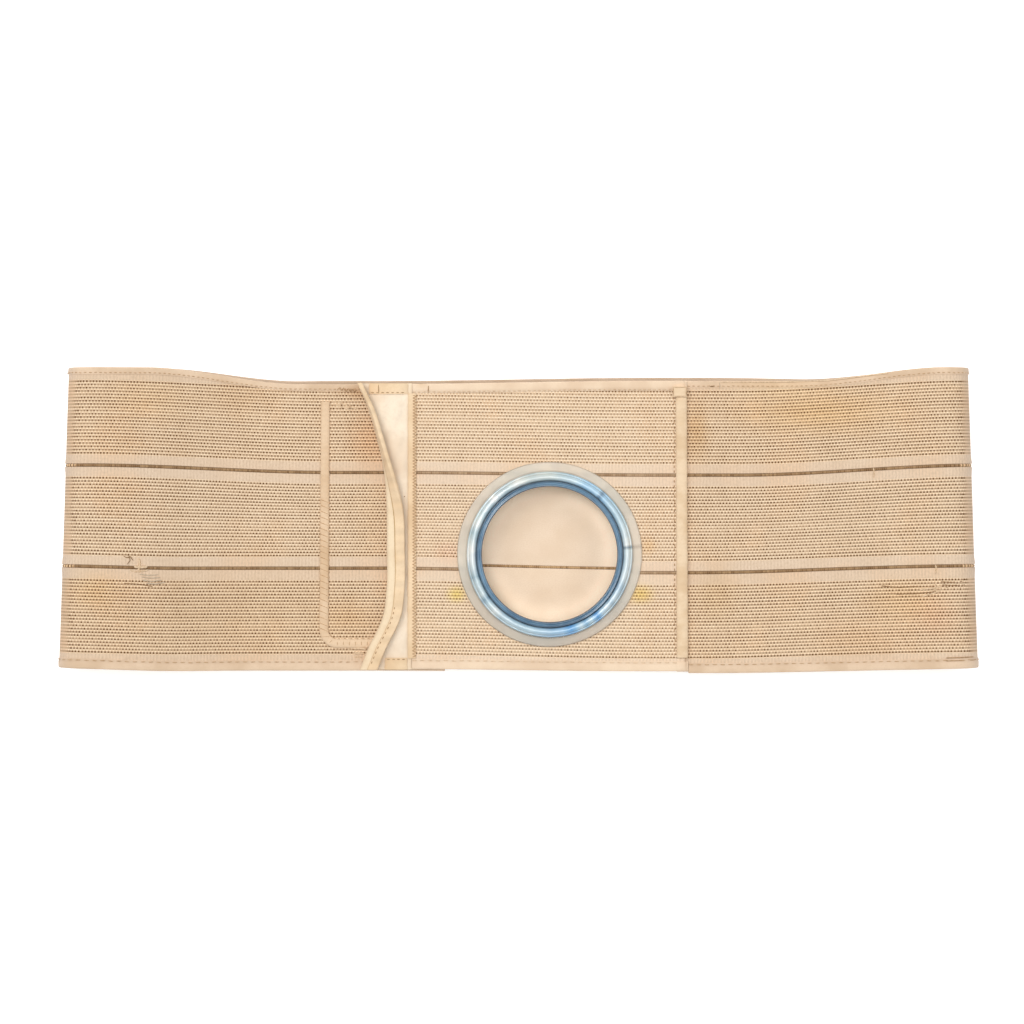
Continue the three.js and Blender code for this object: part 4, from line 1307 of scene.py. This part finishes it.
def make_tab_trim():
    """The strip over the joint, the two hems, their stitches, and the hook strip."""
    low, high = node_box("tab_joint_strip")
    bottom, top = PANEL_BOTTOM + 4.7, PANEL_TOP - 4.7
    left, right = PANEL_LEFT - 2.15, PANEL_LEFT + 2.15
    level = high[2] - 0.1
    shape = flat_strip((left, right), bottom, top, low[2], level, 0.1)
    strip = make_object("tab_joint_tape", *shape, tape_finish, "binding_tape")
    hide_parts("tab_joint_strip")
    heights = np.arange(bottom + 0.6, top - 1, ZIGZAG_PITCH)
    turn, end = heights + ZIGZAG_PITCH / 2, heights + ZIGZAG_PITCH
    zig = panel_stitches((right - 2.1, right + 0.2), (heights, turn), level)
    zag = panel_stitches((right + 0.2, right - 2.1), (turn, end), level)
    pieces = [strip, make_threads("tab_joint_zigzag", [zig, zag], stitch_finish)]

    stitches = []
    for name in ("bottom", "top"):
        low, high = node_box(f"tab_hem_{name}")
        bottom = PANEL_BOTTOM - BOUND if name == "bottom" else PANEL_TOP + BOUND - HEM_HEIGHT
        start = low[0] + taper(bottom, low[0] / HALF_WIDTH)
        shape = flat_strip((start, PANEL_LEFT - 2.35), bottom, bottom + HEM_HEIGHT, low[2], high[2], 0.12)
        hem = make_object(f"tab_{name}_hem", *shape, tape_finish, "binding_tape")
        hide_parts(f"tab_hem_{name}")
        pieces.append(hem)
        xs = np.arange(start + 1, PANEL_LEFT - 4, HEM_STITCH_PITCH)
        inner_edge = bottom + (HEM_HEIGHT - 0.8 if name == "bottom" else 0.8)
        stitches.append(panel_stitches((xs, xs + 1.6), (inner_edge, inner_edge), high[2]))
    for mark in TAB_MARKS:
        level = node_box(mark["on"])[mark["face"]][2] + 0.03
        stitches.append(panel_stitches(mark["x"], mark["height"], level, 0.22))
    pieces.append(make_threads("tab_hem_stitches", stitches, dark_stitch_finish))

    low, high = node_box("hook_fastener")
    shape = flat_strip((PANEL_LEFT - 9, WRAP_END - GAP), 12, BELT_HEIGHT - 12, low[2], high[2])
    hook = make_object("hook_strip", *shape, hook_finish, "tab_facing")
    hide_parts("hook_fastener")
    return [*pieces, hook]


# The bound edge of the landing patch

PATCH_X = PANEL_LEFT - 45.6
PATCH_TOP = BELT_HEIGHT - 9.3
PATCH_BOTTOM = 13.2
PATCH_CORNER = 7
PATCH_END_X = PANEL_LEFT - 17
PATCH_TAPE = 4.6
PATCH_STEP = 0.8
OVERLOCK_TOP = 90
OVERLOCK_PITCH = 3.1


def patch_route(spacing):
    """Centre line of the patch's tape: x, height and the angle that it heads, down and then to the right."""
    side = np.arange(PATCH_TOP, PATCH_BOTTOM + PATCH_CORNER, -spacing)
    turn = np.linspace(0, math.pi / 2, max(4, round(PATCH_CORNER * 1.57 / spacing)))
    corner_x = PATCH_X + PATCH_CORNER * (1 - np.cos(turn))
    corner_h = PATCH_BOTTOM + PATCH_CORNER * (1 - np.sin(turn))
    foot = np.arange(PATCH_X + PATCH_CORNER + spacing, PATCH_END_X, spacing)
    x = np.concatenate([np.full(len(side), PATCH_X), corner_x, foot])
    height = np.concatenate([side, corner_h, np.full(len(foot), PATCH_BOTTOM)])
    angle = np.concatenate([np.zeros(len(side)), turn, np.full(len(foot), math.pi / 2)])
    return x, height, angle


def make_patch():
    x, height, angle = patch_route(PATCH_STEP)
    half = PATCH_TAPE / 2
    low = UNDER_LEVEL + ON_WEB
    rising = [(half, 0), (half, 0.45), (half * 0.8, 0.85), (half * 0.35, 1.08)]
    profile = [(-half, 0), *rising, *[(-across, out) for across, out in reversed(rising[1:])]]
    length = np.arange(len(x)) * PATCH_STEP
    scallop = 1 + 0.07 * np.sin(2 * math.pi * length / OVERLOCK_PITCH)
    puff = 1 + 0.12 * np.sin(2 * math.pi * length / OVERLOCK_PITCH + 0.5)
    points = []
    for across, out in profile:
        wide = across * scallop
        z = low + out * (puff if out > 0.5 else 1)
        points.append(panel_point(x + wide * np.cos(angle), height + wide * np.sin(angle), z))
    tape = make_object("landing_patch_tape", *swept(np.stack(points, 1)), patch_finish, "edge_binding")
    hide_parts("landing_patch_binding")

    route = patch_route(OVERLOCK_PITCH)
    x, height, angle = (part[route[1] < OVERLOCK_TOP] for part in route)
    cos, sin, slant, reach = np.cos(angle), np.sin(angle), 0.9, half * 0.95
    across = (x - reach * cos, x + reach * cos), (height - reach * sin + slant, height + reach * sin - slant)
    over = panel_stitches(*across, low + 0.95, 0.2, 0.15)
    edge_x, edge_height = x + half * 1.05 * cos, height + half * 1.05 * sin
    down = panel_stitches((edge_x, edge_x + 1.3 * sin), (edge_height, edge_height - 1.5 * cos), low + 0.1)
    return [tape, make_threads("landing_patch_stitches", [over, down], stitch_finish)]


# The bound seam at the panel's right end


def make_seam_binding():
    """The raised tape over the panel's right end, its folded end, and its stitches."""
    left, right = PANEL_RIGHT - LAP, BINDING_END[1]
    bottom, top = 7.4, PANEL_TOP - 2.4
    heights = np.linspace(bottom, top, 240)
    on_panel, on_wrap = PANEL_LEVEL + ON_WEB, LAP_LEVEL + ON_WEB
    leg, crest, width = PANEL_RIGHT + 0.2, PANEL_LEVEL + ON_WEB + 1.7, right - left
    spring = on_panel + 0.35
    turns = np.linspace(0.12, math.pi - 0.12, 13)
    arch = [
        (left + width * (0.5 + 0.5 * math.cos(turn)), spring + (crest - spring) * math.sin(turn)) for turn in turns
    ]
    profile = [(left, on_panel), (leg, on_panel), (leg, on_wrap), (right, on_wrap), *arch]
    lumps = 0.1 * np.sin(heights * 0.55) + 0.07 * np.sin(heights * 1.31 + 2) + 0.05 * np.sin(heights * 2.9)
    points = []
    for x, z in profile:
        lump = lumps * (z > on_panel + 0.1)
        points.append(panel_point(x + lump * 0.5, heights, z + lump))
    tape = make_object("panel_seam_tape", *swept(np.stack(points, 1)), seam_tape_finish, "binding_tape")
    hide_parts("panel_seam_binding")

    fold_low, fold_high = node_box("panel_seam_folded_end")
    side = top - 5.6
    shape = flat_strip((left - 1.6, right), side, top, fold_low[2], fold_high[2], 0.08)
    end = make_object("panel_seam_tape_end", *shape, seam_tape_finish, "binding_tape")
    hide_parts("panel_seam_folded_end")
    rows = np.arange(bottom + 1, top - 6, 2.6)
    column = panel_stitches((left - 0.9, left - 0.9), (rows, rows + 1.5), on_panel - 0.15, 0.24, 0.22)
    x0, x1, h0, h1 = left - 1.3, right - 0.4, side + 0.4, top - 0.5
    box_x, box_h = ([x0, x1, x1, x0], [x1, x1, x0, x0]), ([h0, h0, h1, h1], [h0, h1, h1, h0])
    stitches = [column, panel_stitches(box_x, box_h, fold_high[2], 0.14, 0.05)]
    return [tape, end, make_threads("panel_seam_stitches", stitches, dark_stitch_finish)]


# Loose and pulled threads on the front of the wrap, by finish: each one's radius, how far it stands out of
# the cloth, and its x and y in millimetres as seen from above
STRANDS = {
    "dark": [
        (0.2, 0.4, [(-203, -18.2), (-201, -19.2), (-199.4, -18.4), (-198.2, -20.6)]),
        (0.16, 0.5, [(-200.6, -17.8), (-199.8, -20.4), (-201.2, -22.6)]),
        (0.22, 0.0, [(-203.0, -32.2), (-196.0, -32.6), (-188.4, -34.0)]),
        (0.28, 0.0, [(194.2, -37.9), (204, -37.6), (214.4, -36.4)]),
        (0.26, 0.0, [(216.4, -31.4), (222, -31.6), (227.6, -31.2)]),
        (0.26, 0.0, [(217, -33.0), (224, -33.2), (229, -33.0)]),
        (0.2, 0.0, [(219, -34.4), (227, -34.6)]),
        (0.26, 0.0, [(187, -33.6), (196, -34.4), (205, -33.8)]),
        (0.3, 0.85, [(98.6, 69.2), (101.4, 69.3)]),
    ],
    "tan": [
        (0.26, 0.9, [(219, -70.4), (226, -70.2), (232.6, -70.0)]),
        (0.22, 0.9, [(219, -72.0), (226, -71.8), (232.8, -71.6)]),
        (0.34, 0.5, [(-93.6, 67.4), (-92.4, 68.8), (-91.4, 67.0), (-90.2, 68.6), (-89.2, 66.8),
            (-88.0, 68.2), (-86.8, 66.6), (-85.8, 68.0), (-84.6, 66.6), (-83.6, 67.6)]),
    ],
    "pale": [
        (0.62, 0.25, [(-195.4, -19.6), (-195.0, -22.0), (-195.6, -25.2)]),
        (0.74, 0.3, [(-197.6, -23.7), (-194.2, -24.1), (-190.8, -23.8)]),
        (0.42, 0.3, [(-196.4, -25.2), (-193.6, -26.0), (-190.4, -25.4)]),
        (0.6, 0.35, [(-85.4, -66.2), (-82.0, -66.0), (-78.5, -66.5)]),
        (0.6, 0.35, [(-85.2, -68.6), (-82.0, -68.4), (-79.5, -68.8)]),
        (0.4, 0.15, [(-84.8, -70.6), (-82.0, -70.5), (-80.5, -70.8)]),
        (0.3, 0.2, [(-199.6, -25.4), (-196.8, -26.4), (-193.8, -26.2)]),
        (0.4, 0.1, [(206, -35.4), (212, -34.8), (217, -33.8)]),
        (0.36, 0.1, [(207, -39.0), (213, -37.4), (217, -35.4)]),
        (0.34, 0.2, [(213.6, -31.6), (214.2, -34.0), (213.4, -36.6)]),
        (0.4, 0.3, [(214.0, -22.6), (214.4, -25.0), (213.8, -27.2)]),
        (0.36, 0.3, [(182.8, 27.0), (183.3, 24.4), (182.9, 21.8)]),
        (0.28, 0.9, [(104.2, 71.9), (116, 72.3), (134, 73.1), (160, 74.7), (190, 77.0)]),
        (0.34, 0.1, [(-96.2, 61.2), (-92.4, 60.8), (-89.4, 59.4), (-86.4, 58.4), (-83.6, 57.6)]),
        (0.3, 0.1, [(-95.4, 59.6), (-92.2, 59.2), (-89.4, 57.9), (-86.4, 57.0)]),
    ],
    "grey": [
        (0.34, 0.2, [(-195.0, -27.4), (-190.4, -28.2), (-186.0, -27.8)]),
        (0.34, 0.2, [(-194.0, -29.0), (-189.6, -29.6), (-184.6, -29.2)]),
        (0.34, 0.2, [(-193.4, -30.6), (-189.0, -31.2), (-183.6, -30.6)]),
        (0.3, 0.2, [(-191.6, -32.2), (-187.0, -32.6), (-182.0, -31.8)]),
        (0.2, 0.7, [(103.8, 71.6), (104.2, 69.4), (103.8, 68.4)]),
    ],
}


def height_at(x, y):
    """The height on the belt that is seen at a place."""
    return float(np.interp(y, [float(line_y(line, x / HALF_WIDTH)) for line in LINES], LEVELS))


def on_wrap(front, x, y, out):
    """A point on the front of the wrap, out from its middle, at a place seen from above."""
    height = height_at(x, y)
    station_x = x + taper(height, x / HALF_WIDTH)
    i = int(np.argmin(np.abs(front.x - station_x)))
    station = Path(*([value[i]] for value in (front.x, front.z, front.nx, front.nz)))
    return place(station, [height], out)[0, 0]


def tube_part(line, radius):
    """A thread along a line of points, thinner at its ends."""
    line = np.asarray(line, float)
    steps = np.concatenate([[0], np.cumsum(np.linalg.norm(np.diff(line, axis=0), axis=1))])
    at = np.linspace(0, steps[-1], max(4, round(steps[-1] / 0.7)))
    line = np.stack([np.interp(at, steps, line[:, i]) for i in range(3)], -1)
    heading = np.gradient(line, axis=0)
    heading /= np.linalg.norm(heading, axis=1, keepdims=True)
    across = np.cross([0.0, 0.0, 1.0], heading)
    across /= np.linalg.norm(across, axis=1, keepdims=True)
    up = np.cross(heading, across)
    thin = np.ones(len(line))
    thin[[0, -1]] = 0.35
    angles = np.linspace(0, 2 * math.pi, THREAD_SIDES, endpoint=False)
    rings = [line + radius * thin[:, None] * (across * math.cos(a) + up * math.sin(a)) for a in angles]
    points, (quads, caps) = swept(np.stack(rings, 1))
    return points, quads, caps


def make_strands():
    whole = wrap_path(WRAP_START, 0.5)
    on_top = whole.nz > 0.02
    front = Path(*(part[on_top] for part in (whole.x, whole.z, whole.nx, whole.nz)))
    finishes = {
        "dark": snag_finish, "tan": dark_stitch_finish, "pale": pale_stitch_finish, "grey": grey_stitch_finish,
    }
    made = []
    for key, material in finishes.items():
        parts = [
            tube_part([on_wrap(front, x, y, HALF + lift) for x, y in route], radius)
            for radius, lift, route in STRANDS[key]
        ]
        made.append(make_threads(f"{key}_strands", parts, material))
    return made


def make_wrap():
    finishes = {"bottom": web_finish, "middle": middle_web_finish, "top": web_finish}
    bands = {name: wrap_band(name, material) for name, material in finishes.items()}
    path = wrap_path(WRAP_START, SEAM_STEP)
    lower, upper = (
        seam_strip(f"wrap_{name}_seam", path, LEVELS[line], wrap_seam_finish, [f"wrap_seam_{name}"])
        for name, line in (("lower", 1), ("upper", 2))
    )
    bound = wrap_path(BOUND_START, 1.0)
    top, top_rows = binding(
        "wrap_top_binding", bound, BELT_HEIGHT, -1, WRAP_TOP_SEWING, binding_finish, "wrap_binding_top"
    )
    bottom, bottom_rows = binding(
        "wrap_bottom_binding", bound, 0, 1, BOTTOM_SEWING, binding_finish, "wrap_binding_bottom"
    )
    top_stitches = make_threads("wrap_top_stitches", top_rows, stitch_finish)
    bottom_stitches = make_threads("wrap_bottom_stitches", bottom_rows, stitch_finish)
    on_bands = {
        "bottom": [*lower, bottom, bottom_stitches],
        "middle": [*make_patch(), *make_strands()],
        "top": [*upper, top, top_stitches],
    }


def make_panel():
    finishes = {"bottom": panel_web_finish, "middle": panel_middle_finish, "top": panel_web_finish}
    bands = {name: panel_band(name, material) for name, material in finishes.items()}
    path = level_path(PANEL_LEFT, PANEL_RIGHT, PANEL_LEVEL, SEAM_STEP)
    lower = seam_strip(
        "panel_lower_seam", path, LEVELS[1], panel_seam_finish,
        ["panel_seam_lower", "panel_seam_lower_beyond_ring"], waves=False, hole=True,
    )
    upper = seam_strip("panel_upper_seam", path, LEVELS[2], panel_seam_finish, ["panel_seam_upper"], waves=False)
    bound = level_path(PANEL_LEFT, PANEL_RIGHT - 4.3, PANEL_LEVEL, 1.0)
    top, top_rows = binding(
        "panel_top_binding", bound, PANEL_TOP, -1, PANEL_TOP_SEWING, panel_binding_finish,
        "panel_binding_top", False,
    )
    bottom, bottom_rows = binding(
        "panel_bottom_binding", bound, PANEL_BOTTOM, 1, BOTTOM_SEWING, panel_binding_finish,
        "panel_binding_bottom", False,
    )
    top_stitches = make_threads("panel_top_stitches", top_rows, pale_stitch_finish)
    bottom_stitches = make_threads("panel_bottom_stitches", bottom_rows, pale_stitch_finish)
    on_bands = {
        "bottom": [*lower, bottom, bottom_stitches, binding_end("panel_bottom_binding_end", PANEL_BOTTOM, 1)],
        "middle": make_seam_binding(),
        "top": [*upper, top, top_stitches, binding_end("panel_top_binding_end", PANEL_TOP, -1)],
    }


# Camera, light and floor

FRAME_WIDTH = 528.4
FRAME_CENTRE = (-3.35, 4.39)
FRAME_PLANE = 15
LENS = 150
SENSOR = 36
# In metres
FLOOR_SIZE = 6.0
FLOOR_GLOW = 0.45
WORLD_LIGHT = 0.36
# Strength, spread in degrees, and tilt in degrees
SUNS = {"sun": (0.75, 20, (-16, -20)), "overhead": (1.1, 30, (0, 0))}


def make_camera():
    data = bpy.data.cameras.new("camera")
    data.lens = LENS
    data.sensor_width = SENSOR
    camera = bpy.data.objects.new("camera", data)
    distance = FRAME_WIDTH * LENS / SENSOR
    camera.location = (FRAME_CENTRE[0] * MM, FRAME_CENTRE[1] * MM, (FRAME_PLANE + distance) * MM)
    bpy.context.scene.collection.objects.link(camera)
    bpy.context.scene.camera = camera


def area_light(name, place_at, target, size, power):
    data = bpy.data.lights.new(name, "AREA")
    data.shape = "RECTANGLE"
    data.size, data.size_y = size
    data.energy = power
    light = bpy.data.objects.new(name, data)
    light.location = place_at
    direction = Vector(target) - Vector(place_at)
    light.rotation_euler = direction.to_track_quat("-Z", "Y").to_euler()
    bpy.context.scene.collection.objects.link(light)


def make_studio():
    bpy.ops.mesh.primitive_plane_add(size=FLOOR_SIZE)
    floor = bpy.context.active_object
    floor.name = "floor"
    finish = Finish("floor_white", 0.9)
    finish.shader.inputs["Base Color"].default_value = (0.93, 0.93, 0.93, 1)
    finish.shader.inputs["Emission Color"].default_value = (1, 1, 1, 1)
    finish.shader.inputs["Emission Strength"].default_value = FLOOR_GLOW
    floor.data.materials.append(finish.material)
    world = bpy.data.worlds.new("studio")
    world.use_nodes = True
    background = world.node_tree.nodes["Background"].inputs
    background["Color"].default_value = (1, 1, 1, 1)
    background["Strength"].default_value = WORLD_LIGHT
    bpy.context.scene.world = world
    for name, (energy, spread, tilt) in SUNS.items():
        sun = bpy.data.lights.new(name, "SUN")
        sun.energy = energy
        sun.angle = math.radians(spread)
        lamp = bpy.data.objects.new(name, sun)
        lamp.rotation_euler = (math.radians(tilt[0]), math.radians(tilt[1]), 0)
        bpy.context.scene.collection.objects.link(lamp)
    area_light("key", (-0.8, 0.7, 1.3), (0, 0, 0), (0.9, 0.9), 5)
    area_light("fill", (1.0, 0.3, 1.1), (0, 0, 0), (0.8, 0.8), 3)
    settings = bpy.context.scene.view_settings
    settings.view_transform = "Standard"
    settings.look = "None"


make_studio()
make_camera()
make_wrap()
make_panel()
make_ring()
make_tab()
